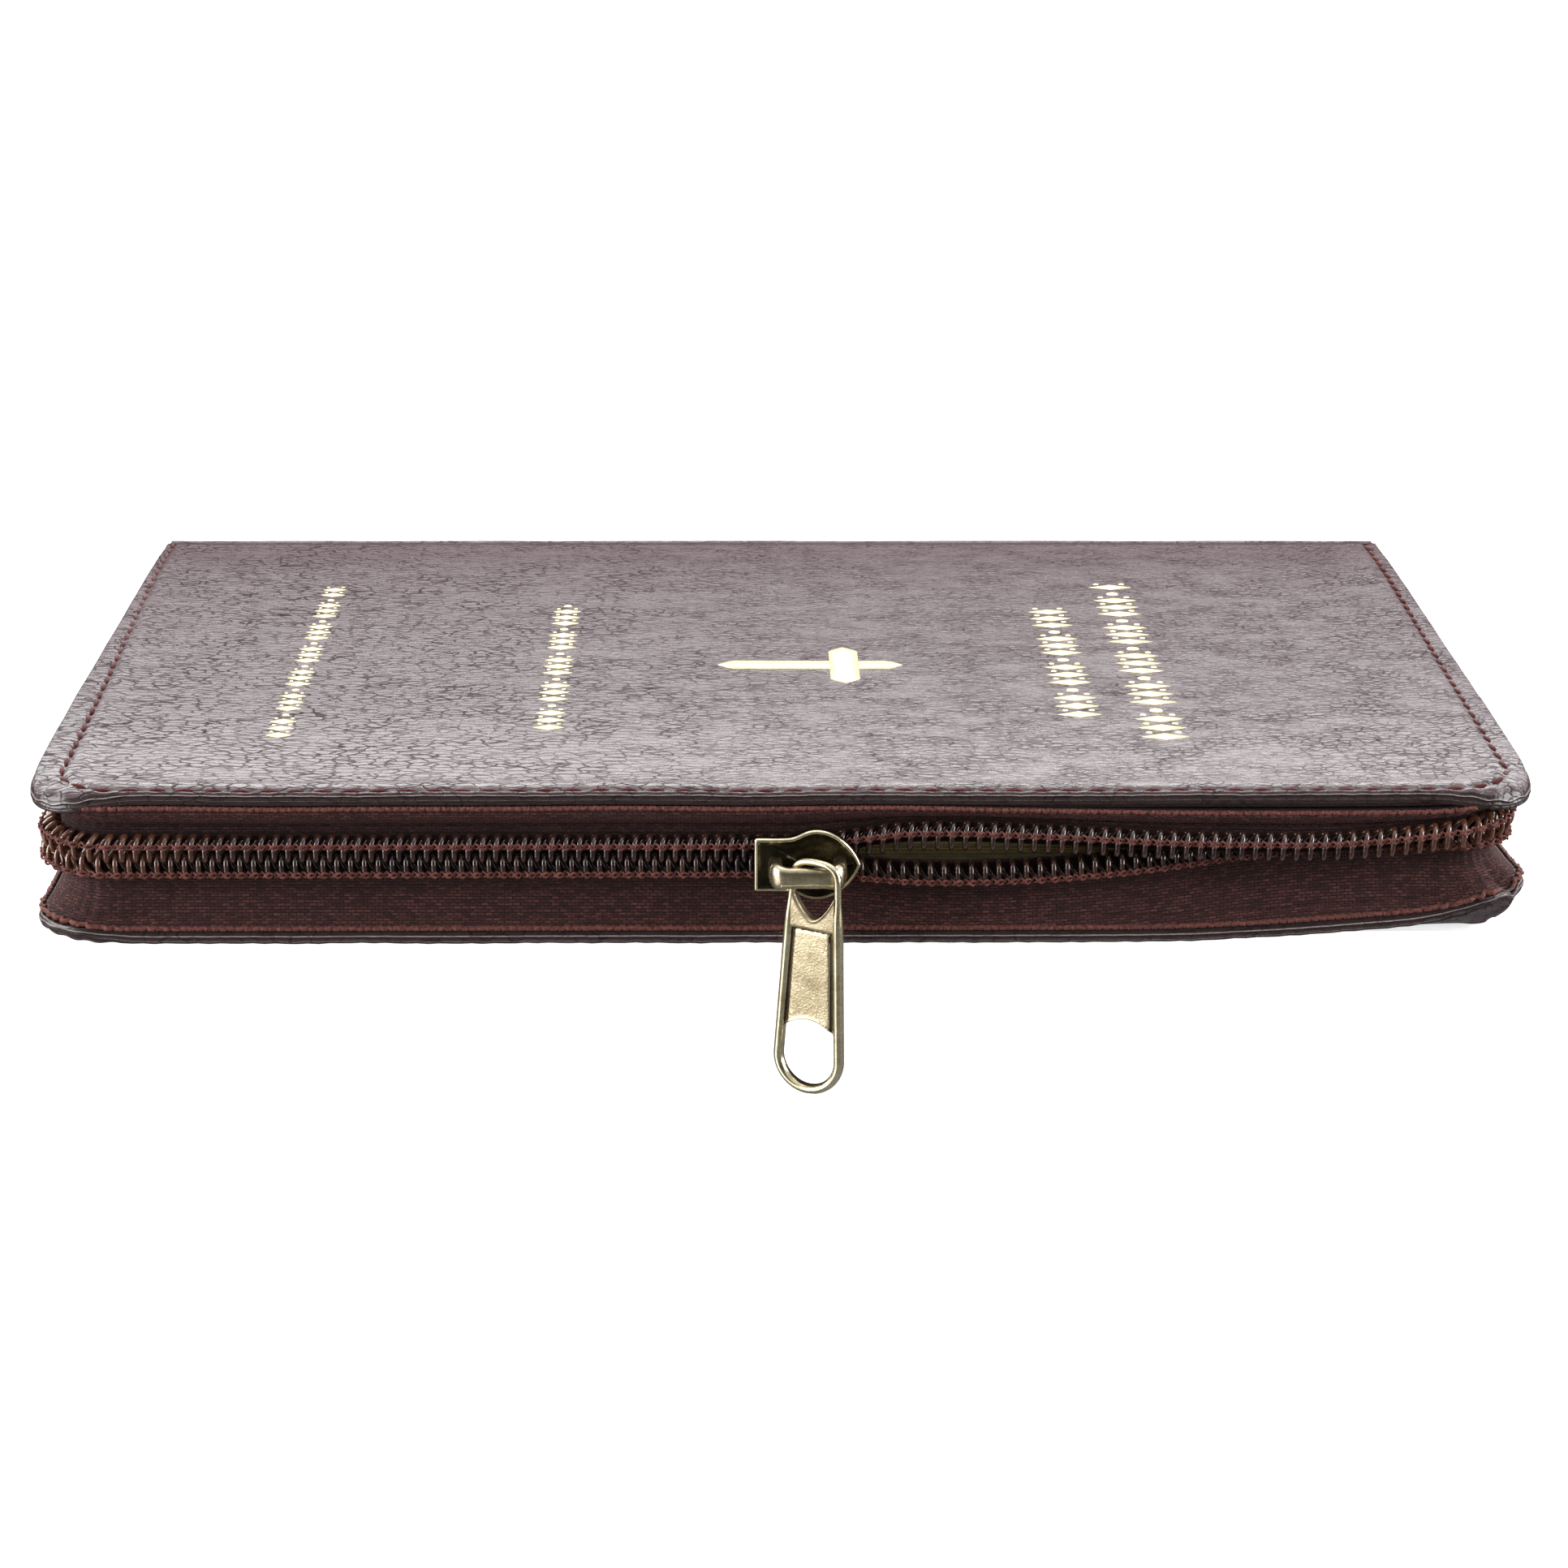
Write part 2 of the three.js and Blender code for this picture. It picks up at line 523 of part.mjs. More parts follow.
const tab = place('pull_tab', pullTab(), BRASS);
tab.position.set(SLIDER_X + TAB_X_SHIFT, BAR_Y, BAR_Z);
tab.rotation.z = TAB_YAW;

export default group;
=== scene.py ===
"""Looks for a zip-cased pocket devotional book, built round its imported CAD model.

Lengths are in millimetres, and MM turns them into metres. Texture scales are in repeats per metre.
+X runs along the fore-edge, the fore-edge faces -Y, the spine is at +Y and +Z is up.
"""
import json
import math

import bmesh
import bpy
import numpy as np
from mathutils import Matrix, Vector, noise


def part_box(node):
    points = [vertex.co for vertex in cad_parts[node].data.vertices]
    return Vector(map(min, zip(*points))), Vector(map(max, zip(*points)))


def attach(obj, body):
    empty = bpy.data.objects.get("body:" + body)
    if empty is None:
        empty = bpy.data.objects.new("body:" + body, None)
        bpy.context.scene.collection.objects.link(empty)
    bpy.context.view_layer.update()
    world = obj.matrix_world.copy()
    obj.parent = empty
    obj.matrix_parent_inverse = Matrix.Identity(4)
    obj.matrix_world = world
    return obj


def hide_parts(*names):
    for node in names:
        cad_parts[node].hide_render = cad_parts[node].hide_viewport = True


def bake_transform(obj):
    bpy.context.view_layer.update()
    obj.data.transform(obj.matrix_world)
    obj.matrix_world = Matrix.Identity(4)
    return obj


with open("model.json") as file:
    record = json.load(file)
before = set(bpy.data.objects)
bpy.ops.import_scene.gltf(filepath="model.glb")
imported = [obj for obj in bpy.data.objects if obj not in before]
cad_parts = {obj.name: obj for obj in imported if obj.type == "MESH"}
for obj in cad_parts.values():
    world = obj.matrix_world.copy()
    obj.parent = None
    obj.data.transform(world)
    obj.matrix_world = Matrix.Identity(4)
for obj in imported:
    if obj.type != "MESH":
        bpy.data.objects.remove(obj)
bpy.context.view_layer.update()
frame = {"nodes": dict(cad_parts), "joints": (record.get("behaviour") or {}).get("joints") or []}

MM = 0.001


def node_box(name):
    """A CAD node's lowest and highest corner, in millimetres."""
    low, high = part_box(name)
    return np.array(low) / MM, np.array(high) / MM


# ---- sizes read from the frame --------------------------------------------------------------
COVER_LOW, COVER_HIGH = node_box("back_cover_leather")
BOOK_TOP = node_box("front_cover_leather")[1][2]
SPINE_HIGH = node_box("spine_leather")[1]
COIL_HIGH = node_box("zipper_coil_back")[1]
UPPER_COIL_LOW = node_box("zipper_coil_front")[0]
SLIDER_LOW, SLIDER_HIGH = node_box("slider_body")
TAB_LOW, TAB_HIGH = node_box("pull_tab")
HINGES = {j["name"]: np.array(j["pos_m"]) / MM for j in frame["joints"] if "pos_m" in j}

HALF_LENGTH = COVER_HIGH[0]
FORE_Y = COVER_LOW[1]
COVER_BACK_Y = COVER_HIGH[1]
COVER_THICKNESS = COVER_HIGH[2] - COVER_LOW[2]
CHAIN_Z = (COIL_HIGH[2] + UPPER_COIL_LOW[2]) / 2

# ---- sizes of the visible surface -----------------------------------------------------------
CORNER_RADIUS = 6.5          # leather's near corners
SEAM_INSET = 0.85            # stitch line from the fore-edge
SEAM_CORNER_RADIUS = 7.0
STITCH_PITCH = 3.0
STITCH_LENGTH = 2.45
STITCH_RADIUS = 0.25
PITCH = 1.5                  # one turn of coil
WIRE_RADIUS = 0.3
ROW_HEIGHT = 3.25            # one turn, from its head to its tape side
ROW_DEPTH = 2.3
ROW_OVERLAP = 1.05           # heads of the two rows pass each other by this much
TAPE_FACE_INSET = 0.9        # tape's outer face behind the cover's edge
SIDE_SHIFT = 1.9             # the zip sits further in on the short sides
ZIP_END_Y = 47.5


# ---- mesh helpers ---------------------------------------------------------------------------
def new_mesh(name, points, faces, material, body=None, node=None, smooth=True, uv=None):
    """A mesh object from points in millimetres; it rides on body and stands for node."""
    mesh = bpy.data.meshes.new(name)
    mesh.from_pydata([tuple(float(c) * MM for c in p) for p in points], [], faces)
    mesh.validate()
    mesh.update()
    if uv is not None:
        layer = mesh.uv_layers.new(name="uv")
        index = np.empty(len(mesh.loops), dtype=np.int32)
        mesh.loops.foreach_get("vertex_index", index)
        layer.data.foreach_set("uv", np.asarray(uv, dtype=np.float32)[index].ravel())
    if smooth:
        mesh.polygons.foreach_set("use_smooth", [True] * len(mesh.polygons))
    mesh.materials.append(material)
    piece = bpy.data.objects.new(name, mesh)
    bpy.context.scene.collection.objects.link(piece)
    if body:
        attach(piece, body)
    if node:
        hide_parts(node)
    return piece


def grid_faces(rows, columns, wrap_rows=False, wrap_columns=False):
    """Quads of a rows x columns grid of points, numbered row by row."""
    faces = []
    for i in range(rows if wrap_rows else rows - 1):
        for j in range(columns if wrap_columns else columns - 1):
            k = (i + 1) % rows
            m = (j + 1) % columns
            faces.append((i * columns + j, i * columns + m, k * columns + m, k * columns + j))
    return faces


def ring_faces(rings, sides):
    """Faces of a tube of rings, with a cap at both ends."""
    last = (rings - 1) * sides
    caps = [tuple(range(sides))[::-1], tuple(range(last, last + sides))]
    return grid_faces(rings, sides, wrap_columns=True) + caps


def grid_border(rows, columns):
    """The outermost points of a grid, in order round it."""
    return ([j for j in range(columns)] + [i * columns + columns - 1 for i in range(1, rows)]
            + [(rows - 1) * columns + j for j in reversed(range(columns - 1))]
            + [i * columns for i in reversed(range(1, rows - 1))])


def back_faces(rows, columns):
    """Quads of a grid's second layer of points, facing the other way."""
    count = rows * columns
    return [tuple(i + count for i in reversed(face)) for face in grid_faces(rows, columns)]


def sheet_faces(rows, columns):
    """Faces of a closed sheet: a grid of front points, then the same grid of back points."""
    count = rows * columns
    border = grid_border(rows, columns)
    rim = [(a, a + count, b + count, b) for a, b in zip(border, border[1:] + border[:1])]
    return grid_faces(rows, columns) + back_faces(rows, columns) + rim


def unit(vectors):
    """Rows of vectors, each made one long."""
    return vectors / np.linalg.norm(vectors, axis=1)[:, None]


def tube_points(path, radius, sides, up):
    """Rings of points round a path; radius and up are one for all or one per point."""
    path = np.asarray(path, dtype=float)
    tangent = unit(np.gradient(path, axis=0))
    side = np.cross(tangent, np.asarray(up, dtype=float))
    side /= np.maximum(np.linalg.norm(side, axis=1)[:, None], 1e-9)
    over = np.cross(side, tangent)
    radius = np.broadcast_to(radius, (len(path),))
    angle = np.linspace(0, 2 * math.pi, sides, endpoint=False)
    spokes = (np.cos(angle)[None, :, None] * side[:, None, :]
              + np.sin(angle)[None, :, None] * over[:, None, :])
    return (path[:, None, :] + radius[:, None, None] * spokes).reshape(-1, 3)


def tube(path, radius, sides=8, up=(0, 0, 1)):
    """A closed tube along an open path, as points and faces."""
    return tube_points(path, radius, sides, up), ring_faces(len(path), sides)


def merge_parts(parts):
    """Joins several (points, faces) into one."""
    points = []
    faces = []
    offset = 0
    for part_points, part_faces in parts:
        points.append(np.asarray(part_points, dtype=float))
        faces.extend(tuple(i + offset for i in face) for face in part_faces)
        offset += len(part_points)
    return np.concatenate(points), faces


def smoothstep(low, high, value):
    """Rises smoothly from 0 at low to 1 at high."""
    t = np.clip((np.asarray(value, dtype=float) - low) / (high - low), 0, 1)
    return t * t * (3 - 2 * t)


def bell(offset, width):
    """1 at no offset, falling smoothly to 0 over a few widths."""
    return math.exp(-(offset / width) ** 2)


def wander(x, y, seed, wavelength):
    """Soft noise from -1 to 1 over the plane."""
    return noise.noise(Vector((x / wavelength, y / wavelength, seed)))


# ---- materials ------------------------------------------------------------------------------
class Nodes:
    """A material and short calls that build its node tree."""

    def __init__(self, name, roughness, metallic=0.0, **sockets):
        self.material = bpy.data.materials.new(name)
        self.material.use_nodes = True
        self.tree = self.material.node_tree
        self.shader = self.tree.nodes["Principled BSDF"]
        self.shader.inputs["Roughness"].default_value = roughness
        self.shader.inputs["Metallic"].default_value = metallic
        for key, value in sockets.items():
            self.shader.inputs[key.replace("_", " ")].default_value = value
        self.coords = self.tree.nodes.new("ShaderNodeTexCoord")

    def add(self, kind, inputs=None, **settings):
        node = self.tree.nodes.new("ShaderNode" + kind)
        for key, value in settings.items():
            setattr(node, key, value)
        for key, value in (inputs or {}).items():
            self.feed(node.inputs[key], value)
        return node

    def feed(self, socket, value):
        if isinstance(value, bpy.types.NodeSocket):
            self.tree.links.new(value, socket)
        else:
            socket.default_value = value

    def scaled(self, scale, kind="Object"):
        """Texture coordinates; scale is in repeats per metre, one for all axes or one for each."""
        scale = scale if isinstance(scale, tuple) else (scale, scale, scale)
        node = self.add("Mapping", {"Vector": self.coords.outputs[kind], "Scale": scale})
        return node.outputs["Vector"]

    def noise(self, scale, detail, rough, kind="Object", zoom=1.0):
        node = self.add("TexNoise", {"Vector": self.scaled(scale, kind), "Scale": zoom,
                                     "Detail": detail, "Roughness": rough})
        return node.outputs["Fac"]

    def warp(self, vector, scale, detail, reach):
        """Moves a vector about by noise, as far as reach, in metres, along each axis."""
        drift = self.add("TexNoise", {"Vector": self.scaled(scale), "Scale": 1.0, "Detail": detail})
        shift = self.add("VectorMath", {0: drift.outputs["Color"], 1: reach}, operation="MULTIPLY")
        moved = self.add("VectorMath", {0: vector, 1: shift.outputs["Vector"]}, operation="ADD")
        return moved.outputs["Vector"]

    def creases(self, vector, scale, width):
        """Lines between cells, dark on white; scale is in cells per metre along each axis."""
        spot = self.add("Mapping", {"Vector": vector, "Scale": scale}).outputs["Vector"]
        cells = self.add("TexVoronoi", {"Vector": spot, "Scale": 1.0}, feature="DISTANCE_TO_EDGE")
        return self.ramp(cells.outputs["Distance"], (0.0, 0.0), (width, 1.0))

    def part(self, vector, axis):
        """One axis of a vector."""
        return self.add("SeparateXYZ", {0: vector}).outputs[axis]

    def ramp(self, value, *stops):
        """A colour ramp; each stop is (position, grey or colour)."""
        node = self.add("ValToRGB", {"Fac": value})
        ramp = node.color_ramp
        while len(ramp.elements) < len(stops):
            ramp.elements.new(1.0)
        for element, (position, colour) in zip(ramp.elements, stops):
            element.position = position
            element.color = (*(colour if isinstance(colour, tuple) else (colour,) * 3), 1)
        return node.outputs["Color"]

    def maths(self, operation, a, b=0.0):
        node = self.add("Math", {0: a, 1: b}, operation=operation)
        return node.outputs[0]

    def linear(self, value, factor, offset):
        """value times factor, plus offset."""
        return self.maths("ADD", self.maths("MULTIPLY", value, factor), offset)

    def mix(self, factor, a, b, blend="MIX"):
        node = self.add("Mix", data_type="RGBA", blend_type=blend)
        self.feed(node.inputs[0], factor)
        self.feed(node.inputs[6], a if isinstance(a, bpy.types.NodeSocket) else (*a, 1))
        self.feed(node.inputs[7], b if isinstance(b, bpy.types.NodeSocket) else (*b, 1))
        return node.outputs[2]

    def bump(self, height, strength, distance, normal=None):
        node = self.add("Bump", {"Height": height, "Strength": strength, "Distance": distance * MM})
        if normal is not None:
            self.feed(node.inputs["Normal"], normal)
        return node.outputs["Normal"]

    def finish(self, colour=None, roughness=None, normal=None):
        if colour is not None:
            self.feed(self.shader.inputs["Base Color"], colour)
        if roughness is not None:
            self.feed(self.shader.inputs["Roughness"], roughness)
        if normal is not None:
            self.feed(self.shader.inputs["Normal"], normal)
        return self.material


def leather_material(name, dark, light, rough_low, rough_high, grain=1.0):
    """Bonded leather: fine creases drawn out along X that turn into pebbles towards +X."""
    nodes = Nodes(name, 0.4, Specular_IOR_Level=0.5)
    place = nodes.coords.outputs["Object"]
    drawn = nodes.warp(place, (26, 30, 30), 2.0, (0.002, 0.0045, 0.0))
    drawn = nodes.warp(drawn, 900, 3.0, (0.001, 0.0005, 0.0))
    folds = nodes.creases(drawn, (480, 1150, 1150), 0.11)
    pebbles = nodes.creases(drawn, (640, 1100, 1100), 0.13)
    pebbled = nodes.ramp(nodes.linear(nodes.part(place, "X"), 7.0, 0.3), (0.0, 0.0), (1.0, 1.0))
    skin = nodes.mix(pebbled, folds, pebbles)
    faded = nodes.ramp(nodes.noise((180, 300, 300), 3.0, 0.6), (0.35, 0.75), (0.62, 0.0))
    skin = nodes.mix(faded, skin, (1.0, 1.0, 1.0))
    fine = nodes.noise((2600, 4200, 4200), 3.0, 0.65)
    swell = nodes.noise((120, 260, 260), 3.0, 0.55)
    height = nodes.linear(skin, 1.0, nodes.maths("MULTIPLY", fine, 0.5))
    height = nodes.linear(swell, 0.8, height)
    normal = nodes.bump(height, grain, 0.12)
    tone = nodes.maths("MULTIPLY", nodes.linear(skin, 0.75, 0.25), nodes.linear(swell, 0.3, 0.75))
    colour = nodes.ramp(tone, (0.15, dark), (0.85, light))
    worn = nodes.linear(skin, 0.75, nodes.maths("MULTIPLY", swell, 0.2))
    roughness = nodes.ramp(worn, (0.1, rough_high), (0.8, rough_low))
    handled = nodes.ramp(nodes.linear(nodes.part(place, "Y"), -10.0, 0.5),
                         (0.0, 0.1), (0.3, 0.2), (0.75, 0.32), (1.0, 0.68))
    shine = nodes.maths("MULTIPLY", handled, nodes.linear(skin, 0.85, 0.15))
    nodes.feed(nodes.shader.inputs["Specular IOR Level"], shine)
    return nodes.finish(colour, roughness, normal)


def lining_material():
    nodes = Nodes("lining", 0.6)
    fine = nodes.noise(1500, 4.0, 0.6)
    colour = nodes.ramp(fine, (0.3, (0.016, 0.009, 0.009)), (0.7, (0.038, 0.02, 0.02)))
    return nodes.finish(colour, None, nodes.bump(fine, 0.5, 0.08))


def tape_material():
    """Woven tape. Its UV map is in millimetres: along the tape, then across it from the coil."""
    nodes = Nodes("zip_tape", 0.8, Specular_IOR_Level=0.2, Sheen_Weight=0.12, Sheen_Roughness=0.4,
                  Sheen_Tint=(0.8, 0.4, 0.35, 1.0))
    uv = nodes.coords.outputs["UV"]
    weave = nodes.add("TexBrick", {"Vector": uv, "Scale": 1.0, "Brick Width": 0.86, "Row Height": 0.36,
                                   "Mortar Size": 0.075, "Mortar Smooth": 0.8,
                                   "Color1": (1, 1, 1, 1), "Color2": (0.7, 0.7, 0.7, 1),
                                   "Mortar": (0, 0, 0, 1)})
    fuzz = nodes.noise((2.4, 5.5, 1), 3.0, 0.7, "UV")
    blotch = nodes.noise(1, 3.0, 0.5, "UV", 0.12)
    threads = nodes.maths("MULTIPLY", weave.outputs["Color"], nodes.maths("ADD", fuzz, 0.35))
    colour = nodes.ramp(threads, (0.25, (0.011, 0.005, 0.005)), (0.65, (0.04, 0.0155, 0.0145)),
                        (1.0, (0.17, 0.062, 0.054)))
    across = nodes.part(uv, "Y")
    # Painted shade: the colour is multiplied darker near the coil, where the tape's valley lies in
    # shadow, and a little lighter at the sewn edge.
    painted_valley_shade = nodes.ramp(nodes.maths("DIVIDE", across, 6.0), (0.36, 0.22), (0.62, 0.6), (0.9, 1.1))
    colour = nodes.mix(1.0, colour, painted_valley_shade, "MULTIPLY")
    colour = nodes.mix(nodes.maths("MULTIPLY", blotch, 0.4), colour, (0.02, 0.008, 0.008))
    return nodes.finish(colour, None, nodes.bump(threads, 1.0, 0.2))


def coil_material():
    """Dark translucent nylon with a wet shine."""
    nodes = Nodes("zip_coil", 0.09, Specular_IOR_Level=0.5, IOR=1.5, Transmission_Weight=0.12)
    patch = nodes.noise(300, 3.0, 0.6)
    colour = nodes.ramp(patch, (0.3, (0.014, 0.006, 0.005)), (0.7, (0.042, 0.016, 0.01)))
    # Painted light: the coil turns amber towards the short sides, standing in for side light shining
    # through the nylon at the corners.
    along = nodes.part(nodes.coords.outputs["Object"], "X")
    outwards = nodes.maths("MULTIPLY", nodes.maths("ABSOLUTE", along), 12.0)
    painted_corner_glow = nodes.ramp(outwards, (0.72, 0.0), (0.98, 0.8))
    colour = nodes.mix(painted_corner_glow, colour, (0.16, 0.055, 0.028))
    fine = nodes.noise(2500, 2.0, 0.6)
    return nodes.finish(colour, None, nodes.bump(fine, 0.15, 0.03))


def thread_material(name, dark, light):
    """Twisted thread: fine plies and stray fuzz."""
    nodes = Nodes(name, 0.62, Specular_IOR_Level=0.12, Sheen_Weight=0.08, Sheen_Roughness=0.4)
    plies = nodes.noise((2600, 1040, 2600), 3.0, 0.7)
    colour = nodes.ramp(plies, (0.3, dark), (0.7, light))
    return nodes.finish(colour, None, nodes.bump(plies, 0.8, 0.08))


def brass_material(name, dark, light, rough_low, rough_high, grain=0.0):
    """Antique brass: darker in blotches, lighter where it is rubbed, optionally sand-textured."""
    nodes = Nodes(name, 0.3, 1.0)
    blotch = nodes.noise(260, 4.0, 0.65)
    pits = nodes.noise(1600, 4.0, 0.7)
    wear = nodes.linear(blotch, 0.65, nodes.maths("MULTIPLY", pits, 0.35))
    colour = nodes.ramp(wear, (0.36, dark), (0.62, light))
    roughness = nodes.ramp(wear, (0.35, rough_high), (0.65, rough_low))
    normal = nodes.bump(pits, 0.25, 0.04)
    if grain:
        sand = nodes.noise(4200, 2.0, 0.5)
        normal = nodes.bump(sand, grain, 0.07, normal)
    return nodes.finish(colour, roughness, normal)


def page_material():
    """Leaves: cream on their faces, and gilt with fine leaf lines on their edges."""
    nodes = Nodes("gilt_pages", 0.45)
    upright = nodes.maths("ABSOLUTE", nodes.part(nodes.coords.outputs["Normal"], "Z"))
    flat = nodes.maths("GREATER_THAN", upright, 0.7)
    leaves = nodes.noise((12, 12, 16000), 2.0, 0.6)
    gilt = nodes.ramp(leaves, (0.35, (0.3, 0.22, 0.08)), (0.65, (0.85, 0.68, 0.28)))
    fibre = nodes.noise(500, 4.0, 0.6)
    cream = nodes.ramp(fibre, (0.3, (0.52, 0.48, 0.38)), (0.7, (0.6, 0.56, 0.46)))
    colour = nodes.mix(flat, gilt, cream)
    metal = nodes.maths("MULTIPLY", nodes.maths("SUBTRACT", 1.0, flat), 0.45)
    nodes.feed(nodes.shader.inputs["Metallic"], metal)
    return nodes.finish(colour, None, nodes.bump(leaves, 0.5, 0.05))


def paper_material():
    nodes = Nodes("endpaper", 0.85)
    fibre = nodes.noise(600, 5.0, 0.65)
    colour = nodes.ramp(fibre, (0.3, (0.5, 0.45, 0.36)), (0.7, (0.58, 0.53, 0.43)))
    return nodes.finish(colour, None, nodes.bump(fibre, 0.3, 0.03))


def board_material():
    nodes = Nodes("board", 0.9)
    fibre = nodes.noise((400, 400, 2400), 5.0, 0.7)
    colour = nodes.ramp(fibre, (0.3, (0.24, 0.2, 0.15)), (0.7, (0.38, 0.33, 0.25)))
    return nodes.finish(colour, None, nodes.bump(fibre, 0.5, 0.1))


def cloth_material():
    nodes = Nodes("binding_cloth", 0.9, Sheen_Weight=0.2)
    across, down = (nodes.add("TexWave", {"Vector": nodes.scaled(900), "Scale": 1.0},
                              wave_type="BANDS", bands_direction=axis).outputs["Fac"]
                    for axis in ("X", "Z"))
    weave = nodes.maths("MULTIPLY", across, down)
    colour = nodes.ramp(weave, (0.0, (0.42, 0.37, 0.3)), (0.8, (0.72, 0.67, 0.58)))
    return nodes.finish(colour, None, nodes.bump(weave, 0.6, 0.1))


def foil_material():
    """Stamped gold foil with tiny gaps where it missed the grain."""
    nodes = Nodes("foil", 0.3, 0.35)
    speck = nodes.noise(2600, 4.0, 0.7)
    colour = nodes.ramp(speck, (0.3, (0.5, 0.36, 0.16)), (0.42, (0.9, 0.74, 0.4)),
                        (0.7, (1.0, 0.88, 0.56)))
    return nodes.finish(colour, None, nodes.bump(speck, 0.3, 0.05))


def plain_material(name, colour, roughness):
    nodes = Nodes(name, roughness)
    drift = nodes.noise(3, 3.0, 0.5)
    low = tuple(c * 0.985 for c in colour)
    return nodes.finish(nodes.ramp(drift, (0.3, low), (0.7, colour)))


LEATHER = leather_material("leather", (0.016, 0.007, 0.009), (0.06, 0.033, 0.038), 0.27, 0.8)
EDGE_LEATHER = leather_material("leather_edge", (0.008, 0.005, 0.005), (0.026, 0.014, 0.013),
                                0.26, 0.42, 0.3)
# A pale copy of the edge leather, for painted highlight lines along the rolled edge.
EDGE_HIGHLIGHT_LEATHER = leather_material("leather_edge_highlight", (0.12, 0.085, 0.085), (0.3, 0.24, 0.24),
                             0.35, 0.5, 0.15)
LINING = lining_material()
TAPE = tape_material()
COIL = coil_material()
COIL_THREAD = thread_material("coil_thread", (0.03, 0.01, 0.009), (0.22, 0.075, 0.06))
SEAM_THREAD = thread_material("seam_thread", (0.025, 0.004, 0.004), (0.115, 0.014, 0.013))
BRASS_DARK = brass_material("brass_dark", (0.012, 0.01, 0.006), (0.06, 0.05, 0.03), 0.2, 0.4)
BRASS_BRIGHT = brass_material("brass_bright", (0.5, 0.42, 0.26), (0.95, 0.86, 0.62), 0.14, 0.26)
BRASS_SAND = brass_material("brass_sand", (0.36, 0.29, 0.18), (0.62, 0.53, 0.35), 0.32, 0.46, 0.8)
BRASS_MID = brass_material("brass_mid", (0.3, 0.25, 0.15), (0.8, 0.7, 0.48), 0.2, 0.36)
# Dark brass for the tab's grooves: painted shade in the recesses.
BRASS_RECESS_SHADE = brass_material("brass_recess_shade", (0.03, 0.024, 0.016), (0.09, 0.07, 0.045), 0.35, 0.5)
PAGES = page_material()
PAPER = paper_material()
BOARD = board_material()
CLOTH = cloth_material()
FOIL = foil_material()


# ---- camera ---------------------------------------------------------------------------------
CAMERA_ANGLES = (-0.87, 18.79, 0.218)    # azimuth, elevation and roll, in degrees
CAMERA_DISTANCE = 381.3
CAMERA_TARGET = (0.05, FORE_Y, 18.55)
FOCAL_LENGTH = 80.87
SENSOR_WIDTH = 36.0


def make_camera():
    """A long lens a little to the left of the middle, looking down at the fore-edge."""
    azimuth, elevation, roll = (math.radians(a) for a in CAMERA_ANGLES)
    back = Vector((math.sin(azimuth) * math.cos(elevation), -math.cos(azimuth) * math.cos(elevation),
                   math.sin(elevation)))
    data = bpy.data.cameras.new("camera")
    data.lens = FOCAL_LENGTH
    data.sensor_width = SENSOR_WIDTH
    data.clip_start = 0.01
    camera = bpy.data.objects.new("camera", data)
    turn = (-back).to_track_quat("-Z", "Y").to_matrix() @ Matrix.Rotation(roll, 3, "Z")
    place = Vector(CAMERA_TARGET) + back * CAMERA_DISTANCE
    camera.matrix_world = Matrix.Translation(place * MM) @ turn.to_4x4()
    bpy.context.scene.collection.objects.link(camera)
    bpy.context.scene.camera = camera


# ---- covers ---------------------------------------------------------------------------------
EDGE_LINES = (0.0, 0.05, 0.13, 0.24, 0.38, 0.55, 0.75, 1.0, 1.3)
FINE_STEP = 0.36
COARSE_STEP = 1.2


def spaced(low, high, low_band, high_band):
    """Grid lines from low to high, closest together at the edges that have a band."""
    lines = [low]
    if low_band:
        lines = [low + d for d in EDGE_LINES]
        lines += list(np.arange(lines[-1] + FINE_STEP, low + low_band, FINE_STEP))
    if high_band:
        tail = [high - d for d in EDGE_LINES]
        tail += list(np.arange(tail[-1] - FINE_STEP, high - high_band, -FINE_STEP))
        tail = tail[::-1]
        stop = tail[0]
    else:
        tail = [high]
        stop = high
    count = int((stop - lines[-1]) / COARSE_STEP) + 2
    lines += list(np.linspace(lines[-1], stop, count)[1:-1])
    return np.array(lines + tail)


def round_corner(x, y, radius):
    """Moves a point of the square plan onto the plan with round fore-edge corners.
    Returns the point and its distance from the edge of the three free sides."""
    a = abs(x) - (HALF_LENGTH - radius)
    b = (FORE_Y + radius) - y
    if a <= 0 or b <= 0:
        return x, y, min(HALF_LENGTH - abs(x), y - FORE_Y)
    a /= radius
    b /= radius
    u = a * math.sqrt(1 - b * b / 2)
    v = b * math.sqrt(1 - a * a / 2)
    inside = radius * (1 - math.hypot(u, v))
    return math.copysign(HALF_LENGTH - radius + u * radius, x), FORE_Y + radius - v * radius, inside


def corner_share(x, y):
    """1 at a near corner, 0 away from it."""
    reach = math.hypot(HALF_LENGTH - abs(x), y - FORE_Y)
    return float(1 - smoothstep(2, 13, reach))


SPINE_DROP = 0.3             # the cover eases down to the spine
FORE_DROP = 0.35             # and to the fore-edge
CORNER_THICKENING = {1: 1.1, -1: 0.5}    # extra leather at the near corners, front and back
LOWER_ROLL = 0.3             # radius of the turned edge's lower side


def front_lift(x, y):
    """How far the front cover stands off its flat plane: slack near the fore-edge."""
    near = float(1 - smoothstep(0, 30, y - FORE_Y))
    wave = 0.3 * wander(x, 0, 3.1, 22) * near
    to_spine = float(smoothstep(COVER_BACK_Y - 16, COVER_BACK_Y, y))
    ease = FORE_DROP * float(1 - smoothstep(0, 34, y - FORE_Y))
    return wave + (0.18 * wander(x, y, 7.7, 38) * (1 - to_spine)) - SPINE_DROP * to_spine - ease


